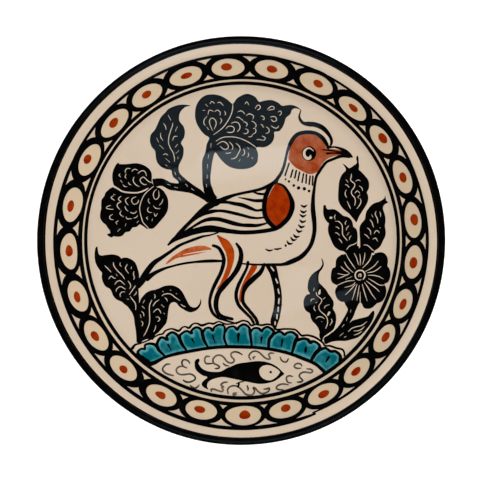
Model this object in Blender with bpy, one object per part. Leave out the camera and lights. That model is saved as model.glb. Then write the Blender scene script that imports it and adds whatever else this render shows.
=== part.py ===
"""A hand painted ceramic plate: clay body, foot ring, glaze coats and brushed decoration.

Lengths here are millimetres and MM turns them into Blender's metres. +Z is up, the plate
stands on its foot ring at z = 0, its axis is the Z axis and the painted bird faces +X.

The drawing is made of strokes, which are centre lines with a width at each point, and of
washes, which are closed outlines. Each painted piece is one thin film over the glaze. A film
painted later stops a small gap short of the films named as its neighbours.
"""
import math

import bmesh
import bpy
import numpy as np
from mathutils import Vector
from mathutils.geometry import delaunay_2d_cdt

MM = 0.001
GAP = 0.3

# Driving dimensions of the dish
RADIUS = 125.0
WELL_HEIGHT = 11.5
FLOOR_BEND = 620.0
WALL_START, WALL_FULL = 90.0, 97.5
LEDGE_START, LEDGE_FULL = 112.5, 117.5
WALL_SLOPE, LEDGE_SLOPE_DROP = 0.56, 0.63
BODY_THICKNESS = 6.0
COAT = 0.5
FILM = 0.3
FOOT_INNER, FOOT_OUTER = 56.0, 63.0
LIP_INNER = 120.6
SEGMENTS = 56
STATIONS = (0, 20, 38, 54, 68, 80, 87, 91, 94, 98, 106, 112.5, 115, 117.5, 120.3)

# Driving dimensions of the border; each link as (degrees clockwise from +Y, half width of its hole)
LINK_RADIUS = 107.0
LINKS = [
    (-4.5, 10.2), (9.7, 10.5), (25.4, 11.2), (39.6, 10.7), (53.4, 10.3), (68.3, 10.9), (83.4, 11.4),
    (96.9, 10.7), (111.1, 9.7), (124.4, 10.2), (138.3, 10.1), (151.4, 10.5), (165.3, 10.3),
    (178.9, 11.2), (193.3, 10.3), (207.6, 10.3), (222.7, 10.2), (236.9, 10.8), (251.3, 10.4),
    (266.8, 11.6), (282.3, 11.2), (298.2, 11.2), (312.6, 11.1), (326.7, 10.6), (341.0, 10.5)]
DEGREE = LINK_RADIUS * math.tau / 360
HOLE_HEIGHT, LINK_HEIGHT, LINK_OVERLAP = 5.6, 7.4, 1.4
DOT_SIZE = (3.2, 1.95)
OUTER_LINE = (113.35, 115.05)
INNER_LINE = (99.45, 101.15)
WELL_LINE = (96.3, 97.9)

# Fineness of the drawing
STROKE_STEP = 4.5
WASH_STEP = 5.0
NEIGHBOUR_GAP = 0.7
LEAST_EDGE = 0.5
FLATNESS = 0.06

CLAY = ("clay", (0.52, 0.30, 0.17, 1.0), 0.85)
GLAZE = ("cream_glaze", (0.68, 0.55, 0.42, 1.0), 0.12)
BLACK = ("black_paint", (0.006, 0.006, 0.008, 1.0), 0.15)
RED = ("red_paint", (0.36, 0.05, 0.012, 1.0), 0.2)
TURQUOISE = ("turquoise_paint", (0.01, 0.17, 0.2, 1.0), 0.15)


# ---------------------------------------------------------------- the dish

def ramp(r, start, full):
    """Height gained by a slope that grows smoothly from 0 to 1 between two radii."""
    t = np.clip((r - start) / (full - start), 0.0, 1.0)
    return (full - start) * (t ** 3 - t ** 4 / 2) + np.maximum(r - full, 0.0)


def top(r):
    """Height of the glazed upper face at a radius."""
    r = np.asarray(r, dtype=float)
    height = WELL_HEIGHT + r ** 2 / (2 * FLOOR_BEND)
    height = height + WALL_SLOPE * ramp(r, WALL_START, WALL_FULL)
    return height - LEDGE_SLOPE_DROP * ramp(r, LEDGE_START, LEDGE_FULL)


def slope(r):
    return float(top(r + 0.5) - top(r - 0.5)) if r > 0.5 else 0.0


def below(r, depth):
    """A profile point a depth under the upper face, measured square to it."""
    s = slope(r)
    length = math.hypot(1.0, s)
    return (max(r + depth * s / length, 0.0) if r > 0 else 0.0, float(top(r)) - depth / length)


def material(kind):
    name, colour, roughness = kind
    if name in bpy.data.materials:
        return bpy.data.materials[name]
    made = bpy.data.materials.new(name)
    made.use_nodes = True
    shader = made.node_tree.nodes["Principled BSDF"]
    shader.inputs["Base Color"].default_value = colour
    shader.inputs["Roughness"].default_value = roughness
    return made


def finish(name, bm, kind):
    """Turn a bmesh in millimetres into a named object in metres."""
    bmesh.ops.scale(bm, vec=(MM, MM, MM), verts=bm.verts)
    mesh = bpy.data.meshes.new(name)
    bm.to_mesh(mesh)
    bm.free()
    mesh.shade_smooth()
    mesh.set_sharp_from_angle(angle=math.radians(35))
    mesh.materials.append(material(kind))
    thing = bpy.data.objects.new(name, mesh)
    bpy.context.scene.collection.objects.link(thing)
    return thing


def turned(name, profile, kind):
    """Spin a closed (radius, height) profile round the Z axis."""
    bm = bmesh.new()
    corners = [bm.verts.new((r, 0.0, z)) for r, z in profile]
    edges = [bm.edges.new((a, b)) for a, b in zip(corners, corners[1:] + corners[:1])]
    on_axis = [e for e in edges if all(v.co.x < 1e-6 for v in e.verts)]
    edges = [e for e in edges if e not in on_axis]
    for edge in on_axis:
        bm.edges.remove(edge)
    bmesh.ops.spin(bm, geom=corners + edges, cent=(0, 0, 0), axis=(0, 0, 1), angle=math.tau,
                   steps=SEGMENTS, use_merge=True)
    bmesh.ops.remove_doubles(bm, verts=bm.verts, dist=1e-5)
    bmesh.ops.triangulate(bm, faces=bm.faces)
    bmesh.ops.recalc_face_normals(bm, faces=bm.faces)
    return finish(name, bm, kind)


def make_clay_body():
    upper = [below(r, COAT + GAP) for r in STATIONS]
    rim = [(121.4, 34.75), (123.0, 35.05), (123.95, 34.1), (124.0, 32.4), (123.2, 30.6)]
    under = [below(r, BODY_THICKNESS) for r in (112, 104, 95, 88, 70, 45, 0)]
    turned("clay_body", upper + rim + under, CLAY)


def make_foot_ring():
    low, high = 1.2, -0.4
    inner_top = below(FOOT_INNER + 0.5, BODY_THICKNESS + GAP)[1]
    outer_top = below(FOOT_OUTER - 0.3, BODY_THICKNESS + GAP)[1]
    turned("foot_ring", [
        (FOOT_INNER, low), (FOOT_INNER + low, 0.0), (FOOT_OUTER - low, 0.0), (FOOT_OUTER, low),
        (FOOT_OUTER + high, outer_top), (FOOT_INNER + 0.4, inner_top)], CLAY)


def make_coats():
    face = [(r, float(top(r))) for r in STATIONS]
    turned("front_glaze", face + [below(r, COAT) for r in reversed(STATIONS)], GLAZE)

    outside = (63.6, 75, 86, 94, 103, 112)
    near = [below(r, BODY_THICKNESS + GAP) for r in outside] + [(123.3, 29.9)]
    far = [below(r, BODY_THICKNESS + GAP + COAT) for r in outside] + [(123.9, 29.5)]
    turned("back_glaze", near + far[::-1], GLAZE)


def make_rim_band():
    outer = [(LIP_INNER, 34.9), (121.2, 35.65), (122.9, 36.1), (124.4, 35.5), (RADIUS, 34.0),
             (124.9, 32.3), (124.1, 30.5)]
    inner = [(123.5, 30.6), (124.3, 32.4), (124.3, 34.2), (123.1, 35.4), (121.3, 35.1),
             (LIP_INNER + 0.2, 34.65)]
    turned("rim_band", outer + inner, BLACK)


def make_well_ring():
    radii = WELL_LINE
    low = [(r, float(top(r)) + GAP) for r in radii]
    high = [(r, float(top(r)) + GAP + FILM) for r in radii]
    turned("well_ring", low + high[::-1], BLACK)


# ---------------------------------------------------------------- the brush

def along(points, step, closed=False):
    """Points about a step apart on the Catmull-Rom curve through the given points."""
    knots = np.array(points, dtype=float)
    count = len(knots)
    if closed:
        padded = np.vstack([knots[-1], knots, knots[:2]])
    else:
        padded = np.vstack([2 * knots[0] - knots[1], knots, 2 * knots[-1] - knots[-2]])
    result = []
    for i in range(count if closed else count - 1):
        a, b, c, d = padded[i:i + 4]
        pieces = max(1, int(round(math.dist(b[:2], c[:2]) / step)))
        for j in range(pieces):
            t = j / pieces
            result.append(0.5 * (2 * b + (c - a) * t + (2 * a - 5 * b + 4 * c - d) * t * t
                                 + (3 * b - a - 3 * c + d) * t ** 3))
    if not closed:
        result.append(knots[-1])
    return np.array(result)


class Stroke:
    """A brush stroke: (x, y, width) points, round at both ends."""

    def __init__(self, points, grow=0.0):
        self.line = along(points, STROKE_STEP)
        self.line[:, 2] = np.maximum(self.line[:, 2], 0.6) + 2 * grow

    def outline(self):
        line = self.line
        heading = np.gradient(line[:, :2], axis=0)
        heading /= np.linalg.norm(heading, axis=1)[:, None]
        side = np.stack([-heading[:, 1], heading[:, 0]], axis=1) * line[:, 2:3] / 2
        first = line[0, :2] - heading[0] * line[0, 2] / 2
        last = line[-1, :2] + heading[-1] * line[-1, 2] / 2
        return np.vstack([first, line[:, :2] - side, last, (line[:, :2] + side)[::-1]])

    def holds(self, spots):
        inside = np.zeros(len(spots), dtype=bool)
        for a, b in zip(self.line, self.line[1:]):
            reach = b[:2] - a[:2]
            t = np.clip((spots - a[:2]) @ reach / max(reach @ reach, 1e-12), 0, 1)
            near = a[:2] + t[:, None] * reach
            width = a[2] + t * (b[2] - a[2])
            inside |= np.linalg.norm(spots - near, axis=1) < width / 2
        return inside


class Wash:
    """A closed outline filled with paint; edge='straight' joins its points with lines."""

    def __init__(self, points, edge="smooth"):
        self.line = along(points, WASH_STEP, closed=True) if edge == "smooth" else np.array(points)

    def outline(self):
        return self.line

    def holds(self, spots):
        return in_loops(spots, [self.line])


class RimCutter:
    """Everything from the well ring outwards."""

    def __init__(self, outer, inner):
        self.outer, self.inner = outer, inner

    def outline(self):
        return self.inner.outline()

    def holds(self, spots):
        return self.outer.holds(spots) & ~self.inner.holds(spots)


def in_loops(spots, loops):
    """Even-odd test of many spots against closed loops."""
    odd = np.zeros(len(spots), dtype=bool)
    for loop in loops:
        for (x0, y0), (x1, y1) in zip(loop, np.roll(loop, -1, axis=0)):
            if y0 == y1:
                continue
            crosses = (y0 > spots[:, 1]) != (y1 > spots[:, 1])
            odd ^= crosses & (spots[:, 0] < x0 + (spots[:, 1] - y0) * (x1 - x0) / (y1 - y0))
    return odd


def triangles(loops):
    """Constrained triangulation of the plane by a set of loops."""
    spots, edges = [], []
    for loop in loops:
        start, size = len(spots), len(loop)
        spots += [Vector((float(x), float(y))) for x, y in loop]
        edges += [(start + i, start + (i + 1) % size) for i in range(size)]
    made = delaunay_2d_cdt(spots, edges, [], 0, 1e-4)
    places = np.array([tuple(v) for v in made[0]])
    faces = np.array([tuple(f) for f in made[2]])
    return places, faces


def largest_part(faces, areas):
    """The faces of the largest connected patch."""
    owner = list(range(len(faces)))

    def root(i):
        while owner[i] != i:
            owner[i] = owner[owner[i]]
            i = owner[i]
        return i

    seen = {}
    for i, face in enumerate(faces):
        for a, b in zip(face, np.roll(face, -1)):
            key = (min(a, b), max(a, b))
            if key in seen:
                owner[root(i)] = root(seen[key])
            seen[key] = i
    roots = np.array([root(i) for i in range(len(faces))])
    best = max(set(roots), key=lambda r: areas[roots == r].sum())
    return faces[roots == best]


def border_loops(places, faces):
    """Loops round a patch of triangles, each walked with the patch on its left."""
    onward = {}
    edges = {(face[i], face[(i + 1) % 3]) for face in faces for i in range(3)}
    for a, b in sorted(edges):
        if (b, a) not in edges:
            onward.setdefault(a, []).append(b)
    loops = []
    while onward:
        start = min(onward)
        loop = [start]
        while True:
            ends = onward[loop[-1]]
            step = ends.pop()
            if not ends:
                del onward[loop[-1]]
            if step == start:
                break
            loop.append(step)
        loops.append(places[loop])
    return loops


def simplified(loop):
    """The loop without its crowded and its nearly straight points."""
    kept = [loop[0]]
    for i in range(1, len(loop)):
        here, ahead = loop[i], loop[(i + 1) % len(loop)]
        reach = ahead - kept[-1]
        off = abs(reach[0] * (here - kept[-1])[1] - reach[1] * (here - kept[-1])[0])
        bulge = off / max(np.linalg.norm(reach), 1e-9)
        if np.linalg.norm(here - kept[-1]) > LEAST_EDGE and bulge > FLATNESS:
            kept.append(here)
    return np.array(kept)


def film(name, shapes, cutters, kind):
    """One thin painted solid: the shapes less the cutters, laid over the glaze."""
    places, faces = triangles([s.outline() for s in shapes + cutters])
    middles = places[faces].mean(axis=1)
    painted = np.any([s.holds(middles) for s in shapes], axis=0)
    for cutter in cutters:
        painted &= ~cutter.holds(middles)
    corners = places[faces]
    arms = corners[:, 1:] - corners[:, :1]
    areas = np.abs(arms[:, 0, 0] * arms[:, 1, 1] - arms[:, 0, 1] * arms[:, 1, 0]) / 2
    patch = largest_part(faces[painted], areas[painted])
    loops = [simplified(loop) for loop in border_loops(places, patch)]
    loops = [loop for loop in loops if len(loop) > 2]

    places, faces = triangles(loops)
    faces = faces[in_loops(places[faces].mean(axis=1), loops)]
    loft(name, places, faces, kind)


def loft(name, places, faces, kind):
    """Give flat triangles their height on the glaze and their thickness."""
    heights = top(np.hypot(places[:, 0], places[:, 1])) + GAP
    bm = bmesh.new()
    used = sorted(set(faces.ravel()))
    low = {i: bm.verts.new((*places[i], heights[i])) for i in used}
    high = {i: bm.verts.new((*places[i], heights[i] + FILM)) for i in used}
    edges = {(f[i], f[(i + 1) % 3]) for f in faces for i in range(3)}
    for a, b, c in faces:
        bm.faces.new((high[a], high[b], high[c]))
        bm.faces.new((low[c], low[b], low[a]))
    for a, b in sorted(edges):
        if (b, a) not in edges:
            bm.faces.new((low[a], low[b], high[b], high[a]))
    finish(name, bm, kind)


def ring(radius):
    """A circle as a wash outline."""
    turns = np.linspace(0, math.tau, SEGMENTS, endpoint=False)
    return Wash(np.stack([radius * np.cos(turns), radius * np.sin(turns)], axis=1), "straight")


def oval(degrees, before, after, height, points):
    """An oval on the border, bent to follow the ring; its two ends can reach differently."""
    turns = np.linspace(0, math.tau, points, endpoint=False)
    across = np.where(np.cos(turns) > 0, after, before) * np.cos(turns)
    bearing = math.radians(90 - degrees) - across / LINK_RADIUS
    radius = LINK_RADIUS + height * np.sin(turns)
    return Wash(np.stack([radius * np.cos(bearing), radius * np.sin(bearing)], axis=1), "straight")


def disc(x, y, radius, points=10):
    turns = np.linspace(0, math.tau, points, endpoint=False)
    return Wash(np.stack([x + radius * np.cos(turns), y + radius * np.sin(turns)], axis=1),
                "straight")


def edging(points):
    """The strip along a wash's edge that its neighbours keep clear of."""
    return Stroke([(x, y, 0.6) for x, y in list(points) + [points[0]]], grow=0.4)


def clear_of_strokes(lists):
    return [Stroke(points, grow=NEIGHBOUR_GAP) for points in lists]


def clear_of_wash(points):
    return [Wash(points), edging(points)]


# ---------------------------------------------------------------- the drawing
# x and y in millimetres from the middle of the plate; a stroke's third number is its width.

NECK = [
    (-17, 23.5, 5.5), (-14, 24.8, 3.4), (-10, 26.6, 2.8), (-5, 28.4, 2), (0, 29.6, 1.8),
    (6, 30.8, 1.8), (12, 32.2, 2), (17, 34.2, 2.6), (20.5, 36.5, 2.5), (22.5, 39, 2.2),
    (24.8, 42.5, 2), (26.5, 47, 1.8), (28, 53.5, 1.6), (29, 57, 1.9), (31.3, 62, 2.6),
    (35, 66, 2.4), (41, 67.2, 2.4), (46.5, 66.2, 2.4), (50.5, 63.3, 2.6), (53, 59.5, 2.2),
    (53.8, 57.2, 1.6)]
CREST = [
    (37, 80.5, 0.8), (36, 77.5, 1.3), (36.5, 75, 1.8), (38.5, 72.8, 2), (42, 72.2, 3),
    (46, 71.7, 3), (50, 70, 3), (53, 67.3, 2.6), (55.2, 64, 2), (56, 61.5, 1.8), (55.6, 59.5, 1.4),
    (54.3, 57.8, 0.8)]
THROAT = [
    (67, 51.8, 1.6), (62, 52.2, 2), (57, 50.5, 1.8), (53, 48.8, 1.8), (50.5, 46, 1.8),
    (48.5, 43, 1.8), (46.6, 40, 1.8), (45.5, 35, 1.7), (44.5, 27, 2.3), (44.3, 20, 2.9),
    (44.8, 15, 3), (45.3, 7, 2.6), (44, 0, 2.6), (41.6, -5, 2.6), (36.9, -10, 3), (30, -13.4, 3),
    (25, -14.8, 2), (18, -14.9, 1.8), (10, -14.9, 1.3), (4, -14.6, 1.2), (-1, -14.2, 0.9)]
BEAK_TOP = [
    (53.5, 57.6, 1.3), (57.5, 57.5, 1.2), (61, 56.2, 2), (64.5, 54.3, 3.2), (67.3, 52.4, 2)]
BEAK_MIDDLE = [
    (53.2, 54, 1.8), (57, 54.3, 1), (62, 54, 1.4), (64.5, 53.8, 2.4)]
WING_FRONT = [
    (22, 37, 1.6), (18.5, 34.5, 2.6), (15.8, 30, 3), (14.3, 25, 3), (13.9, 20, 3), (14.6, 15.5, 3),
    (17, 11.5, 2.8), (20.5, 8, 2.8)]
WING_EDGE = [
    (22.5, 35.7, 1), (26, 34, 1.6), (29, 30, 2), (31.2, 24.5, 3), (31.3, 20, 3.3), (29.4, 15, 3),
    (26.5, 11.5, 3), (22, 8, 2.8), (16, 6.4, 2.6), (8, 5.4, 2.6), (0, 5.2, 2.7), (-8, 6, 3),
    (-14, 7, 3.8), (-21, 7.5, 4.4), (-29, 6, 4), (-36, 3.8, 4), (-42, 1, 3), (-46, -2.5, 1.2)]
WING_BACK = [
    (-19, 22.5, 4), (-22.5, 20.5, 3.6), (-28, 16, 2.4), (-32, 12, 2), (-36, 8, 2), (-40, 3.7, 2),
    (-43, 0, 1.6)]
FEATHERS = [
    [(15.5, 29, 1.2), (11, 29.2, 1.6), (7, 30.3, 1)],
    [(13, 25, 2.2), (8, 25, 2), (3, 26, 1.4), (-2, 27, 0.8)],
    [(13, 19.3, 1.8), (9, 18.9, 1.6), (5, 20.4, 2.3), (0, 22.3, 2.6), (-5, 23.2, 2.3), (-9, 24, 2),
     (-14, 24.3, 2.4)],
    [(14, 14.6, 1.2), (10, 14.1, 1.4), (5, 14.6, 1.8), (0, 16, 2), (-5, 17.2, 2), (-10, 18.3, 2),
     (-15, 18.7, 1.8), (-20, 18, 2.6), (-24, 16.5, 1.8), (-29, 13.5, 1.2), (-34, 9.5, 1)],
    [(17, 11.3, 1), (10, 9.6, 2), (5, 9.6, 2.4), (0, 9.8, 2.3), (-5, 10.8, 2.7), (-10, 12.3, 2.7),
     (-15, 13.5, 2.6), (-20, 13.5, 2.6), (-25, 12, 2), (-31, 8.5, 1.6), (-36, 5, 2)]]
TAIL = [
    [(-15, 5, 1), (-20, 3.5, 1.1), (-24, 2.8, 1.4), (-28, 1.5, 1.8), (-36, -1.5, 1.8),
     (-40, -3.5, 2), (-45, -7, 2), (-50, -10.5, 2.4), (-55, -14, 3.2), (-59, -19, 3.7),
     (-61.7, -24, 4.4), (-64.5, -28, 3.6)],
    [(-11, -12.7, 1.4), (-20, -12.6, 2), (-30, -13.3, 1.5), (-38, -14.5, 1.4), (-45, -16.3, 1.4),
     (-50, -18, 2), (-55, -20.5, 2.6), (-59, -23.5, 3.6)]]
LEGS = [
    [(-18, -3, 1.2), (-15.6, -3.8, 1.6), (-13.6, -5.6, 1.8), (-11.6, -10, 1.9), (-11.4, -13.6, 2),
     (-13.2, -20, 1.9), (-16.2, -26, 1.9), (-18.8, -32, 1.7), (-20, -38.4, 1.5),
     (-18.4, -44.4, 1.6), (-14.8, -48, 1.8), (-9, -49, 2.4), (-3, -50.4, 2)],
    [(-3.4, -1.8, 1), (-1, -5.6, 2), (-0.6, -10.8, 2.6), (-2.6, -17.2, 2.8), (-6.4, -22.8, 2.5),
     (-10.8, -27.6, 3), (-14.6, -32.8, 2.6), (-16.1, -39, 2.7), (-15.2, -44.4, 2.2),
     (-12, -47.4, 1.8), (-6, -48.9, 1.6)],
    [(3.8, -13.4, 1.4), (3, -17.2, 1.3), (0.2, -22.8, 1.5), (-2.4, -28.4, 1.8), (-3.6, -34, 1.8),
     (-2.2, -39.6, 2), (1.6, -44, 2.1), (5.6, -48, 2), (7.4, -51, 1.9)],
    [(14, -14.8, 1.6), (11.6, -19.6, 2.4), (7.2, -23.6, 3), (2.8, -28, 2.8), (0.8, -33, 1.8),
     (0.9, -38.5, 1.8), (4.8, -43.6, 2.2), (8.4, -48, 2.3), (9.8, -51, 2.5)]]
HIND_LEG = [
    (14.8, -15.4), (17.6, -21.2), (19.6, -28.8), (20.4, -36), (19.6, -43.2), (17.8, -50.3),
    (20, -52.5), (22.3, -52), (23.8, -47.2), (25, -39.2), (24.7, -31.2), (23, -22.8),
    (21.2, -15.4), (18, -14.4)]
BIRD_STROKES = [NECK, CREST, THROAT, BEAK_TOP, BEAK_MIDDLE, WING_FRONT, WING_EDGE, WING_BACK,
                *FEATHERS, *TAIL, *LEGS]

HEAD_RED = [
    (29.6, 50.5), (30, 57), (32, 61.5), (36, 64.8), (42, 65.8), (46.5, 64.6), (50, 62),
    (52.4, 58.5), (58, 56), (53.5, 55.2), (53, 52.5), (60, 53), (55, 50.5), (51, 48.5),
    (48.3, 43.9), (45, 41.7), (41, 41.5), (35, 44.6), (31, 47.8)]
WING_RED = [
    (21.3, 35.6), (16.7, 28), (15.4, 20), (17.5, 13), (20.3, 9.2), (26, 13.8), (29.9, 20.5),
    (28.5, 28), (24.5, 34)]
TAIL_RED = [
    (-47.5, -14.8), (-44, -10.5), (-35, -5), (-25, -3), (-19, -5.3), (-25, -7.6), (-36, -10),
    (-41, -11)]
LEG_REDS = [
    [(-15, 2.5), (-12, 1.8), (-8.4, 0), (-5.2, -5.2), (-4.8, -10.8), (-6.4, -17.2), (-9, -23.2),
     (-13, -28.2), (-16, -30.5), (-13.6, -26.4), (-11, -20.4), (-9.2, -14), (-10, -8),
     (-12.8, -2.4)],
    [(6.4, -15), (4, -19.6), (1, -25.2), (-1, -30.8), (-1.8, -36.4), (-0.8, -38.6), (-0.2, -36),
     (1, -30), (3.8, -24.8), (7.6, -20), (9.6, -15.8)]]

FLOWER_TOP = [
    (-23.4, 31), (-24.6, 40), (-24.3, 50), (-22, 59), (-20.4, 64), (-25.5, 69), (-28.3, 74),
    (-28.9, 79), (-27, 86), (-22, 90.3), (-15, 90.6), (-8.5, 87.5), (-5.2, 85.6), (-3, 88),
    (0, 90), (4, 91.1), (8.5, 89.3), (11, 86.3), (16, 87.1), (20.4, 86.7), (25.2, 83.8),
    (31.6, 83.9), (36.4, 81.6), (32, 81.2), (30.2, 78.4), (27.4, 75.6), (25.4, 70.2), (23, 67.9),
    (20.4, 66.5), (19.4, 61.6), (15.6, 58.5), (10.1, 58), (10.2, 52), (7.5, 46.5), (0, 44.6),
    (-8, 46.3), (-14.5, 52.5), (-17, 53.5), (-19.2, 44.5), (-19.3, 36), (-17.4, 30), (-20, 28)]
LEAF_TOP = [
    (-31.5, 83.6), (-38, 79.6), (-38.6, 74.5), (-35.5, 68.5), (-37.6, 61.5), (-36.4, 54),
    (-39.3, 46), (-38.6, 42.2), (-35, 38.5), (-28.6, 33.7), (-27, 30.5), (-33, 30.8), (-40, 30.9),
    (-47, 33), (-51.4, 34.4), (-54.5, 34.8), (-55, 38.4), (-48, 38.8), (-41.5, 37), (-43.3, 41),
    (-47, 44.6), (-52.5, 48.5), (-54.2, 56), (-57, 62), (-54, 69), (-50, 77), (-44.8, 82.2),
    (-38.1, 84.5)]
FLOWER_LEFT = [
    (-56.3, 34.6), (-56.4, 42.7), (-59.4, 46.2), (-64, 48.1), (-73.4, 47.7), (-77, 48.3),
    (-80, 43.7), (-80.5, 38.3), (-79.6, 33.6), (-84.9, 29.7), (-87.4, 24), (-88.2, 15),
    (-84.7, 10), (-82, 5.3), (-83.4, 3.6), (-78, 2.6), (-74, 3.5), (-69.5, 6.4), (-65, 9),
    (-61, 8.7), (-56.5, 7.5), (-52, 11), (-47.3, 17), (-45.9, 22.7), (-47, 28.5), (-51.4, 33)]
LEAF_PAIR = [
    (-89.9, -3.5), (-88.7, -8.7), (-80.7, -8.5), (-75.2, -10.9), (-69.7, -11.2), (-65.4, -16.5),
    (-64, -22.5), (-65.6, -26), (-64.6, -31), (-64, -37.5), (-62.9, -36.3), (-59.4, -32.3),
    (-50.7, -29.2), (-43.4, -27.8), (-37, -32), (-33.4, -39.7), (-30, -41.6), (-26.4, -38.6),
    (-25.4, -41), (-29.5, -44.6), (-36, -43), (-40, -39.8), (-43, -38.4), (-45.5, -42.3),
    (-46.5, -49.5), (-51, -56.2), (-55, -61.5), (-59.4, -61.3), (-64.5, -63.4), (-65.6, -56.6),
    (-67.4, -47), (-71.4, -40.7), (-79, -35.7), (-82, -30), (-86.5, -25), (-87.1, -19.8),
    (-91, -13.3), (-91.4, -6.7)]
LEAF_RIGHT = [
    (72, 52.3), (71.6, 48), (67.3, 44.9), (63, 47.4), (64.6, 43.4), (61.5, 39.3), (59.9, 27.3),
    (63, 19.7), (68.6, 14.3), (71.1, 11.2), (73, 15), (78, 23.3), (77.8, 29.6), (79.1, 34.5),
    (76.3, 40.3), (72.9, 43.8)]
FLOWER_RIGHT = [
    (51.6, 22), (50.6, 17.5), (54, 10.4), (53.6, 6), (57.3, -3.3), (61, -6.4), (64.6, -8),
    (59.3, -10.5), (58.2, -16), (55.4, -21.7), (59.4, -27.8), (58, -32), (59.6, -36.3),
    (64, -38.6), (65.8, -43), (60.8, -52), (54.5, -58.6), (52.4, -62.6), (58, -62.3),
    (69.2, -60.8), (75.2, -57.2), (80, -51.2), (82, -44), (78.4, -46.6), (67.5, -50), (70.6, -43),
    (74, -38.4), (76.6, -42), (81, -41.5), (86.3, -38), (89.6, -31.3), (92.1, -21.7),
    (90.4, -12.5), (86, -7.2), (82, -7.6), (87.4, -1), (89.3, 5.3), (88.9, 13), (87.8, 20.5),
    (90.4, 23.4), (88.6, 26), (80.3, 21.7), (76.8, 15.3), (73.6, 9.5), (73.5, -2.6), (71.9, -0.3),
    (71.6, 5.8), (69.2, 9.8), (67.3, 13.7), (61.6, 16.7), (58, 19.3), (53, 19.5)]
LEAF_CURLED = [
    (49.4, -10.8), (51, -14), (48.2, -20), (48, -25.6), (52.4, -30.4), (57, -37.6), (57, -42.4),
    (58.7, -48.5), (57.4, -54), (54, -57.2), (50.6, -60), (49.4, -58.8), (47.6, -54.4), (44, -50),
    (42.4, -45.4), (39.2, -42), (38.4, -38), (42, -33.1), (41, -28), (43.2, -21.6), (49.2, -16.6)]
SCALLOPS = [
    (-67.6, -66.8, 2), (-66, -64.7, 1.4), (-62.5, -63.7, 1), (-57, -61.5, 1), (-51.9, -58.6, 1),
    (-49, -57.9, 1.2), (-47.5, -56, 1.1), (-43.5, -54.8, 1.1), (-39.3, -56.1, 1.6),
    (-37, -54, 1.1), (-35, -53.5, 1.1), (-32.8, -54.3, 1.6), (-30.7, -52, 1.1), (-28, -51.4, 1.1),
    (-24.8, -52.7, 1.7), (-20.4, -51.3, 1.2), (-17.6, -51.7, 1.4), (-14.3, -50.3, 1),
    (-10.4, -51.8, 1.1), (-7, -51.8, 1), (-2.4, -50.9, 1.3), (0.6, -49.7, 1.2), (4.1, -50.6, 1.2),
    (5.9, -52.7, 1.4), (8.7, -52, 1.2), (12.5, -52.5, 1.4), (16, -51.9, 1.2), (19.2, -52.7, 1.3),
    (21.6, -55.2, 1.4), (26.5, -54.8, 1.2), (32.1, -55, 1.2), (34.4, -56, 1.3), (37.2, -58.8, 1.4),
    (40.9, -58.6, 1.3), (45.6, -59.9, 1.4), (50.3, -63, 1.3), (51.7, -65, 1.2), (54.9, -65.1, 1.3),
    (58.7, -66.4, 1.3), (62.4, -67.2, 1.3), (63.6, -69, 1.2), (63.8, -71, 1.2)]
WATER_LINE = [
    (-58, -76.9, 2.4), (-54, -75.8, 2), (-47.5, -72.4, 1.4), (-40, -70.2, 1.6), (-30, -68.3, 1.5),
    (-20, -66.7, 1.5), (-10, -65.9, 1.6), (0, -66, 1.6), (10, -66.4, 1.5), (20, -67.7, 1.5),
    (30, -70, 1.6), (40, -73.7, 1.7), (46, -76.4, 1.6), (52, -81.4, 1.6)]
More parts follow.
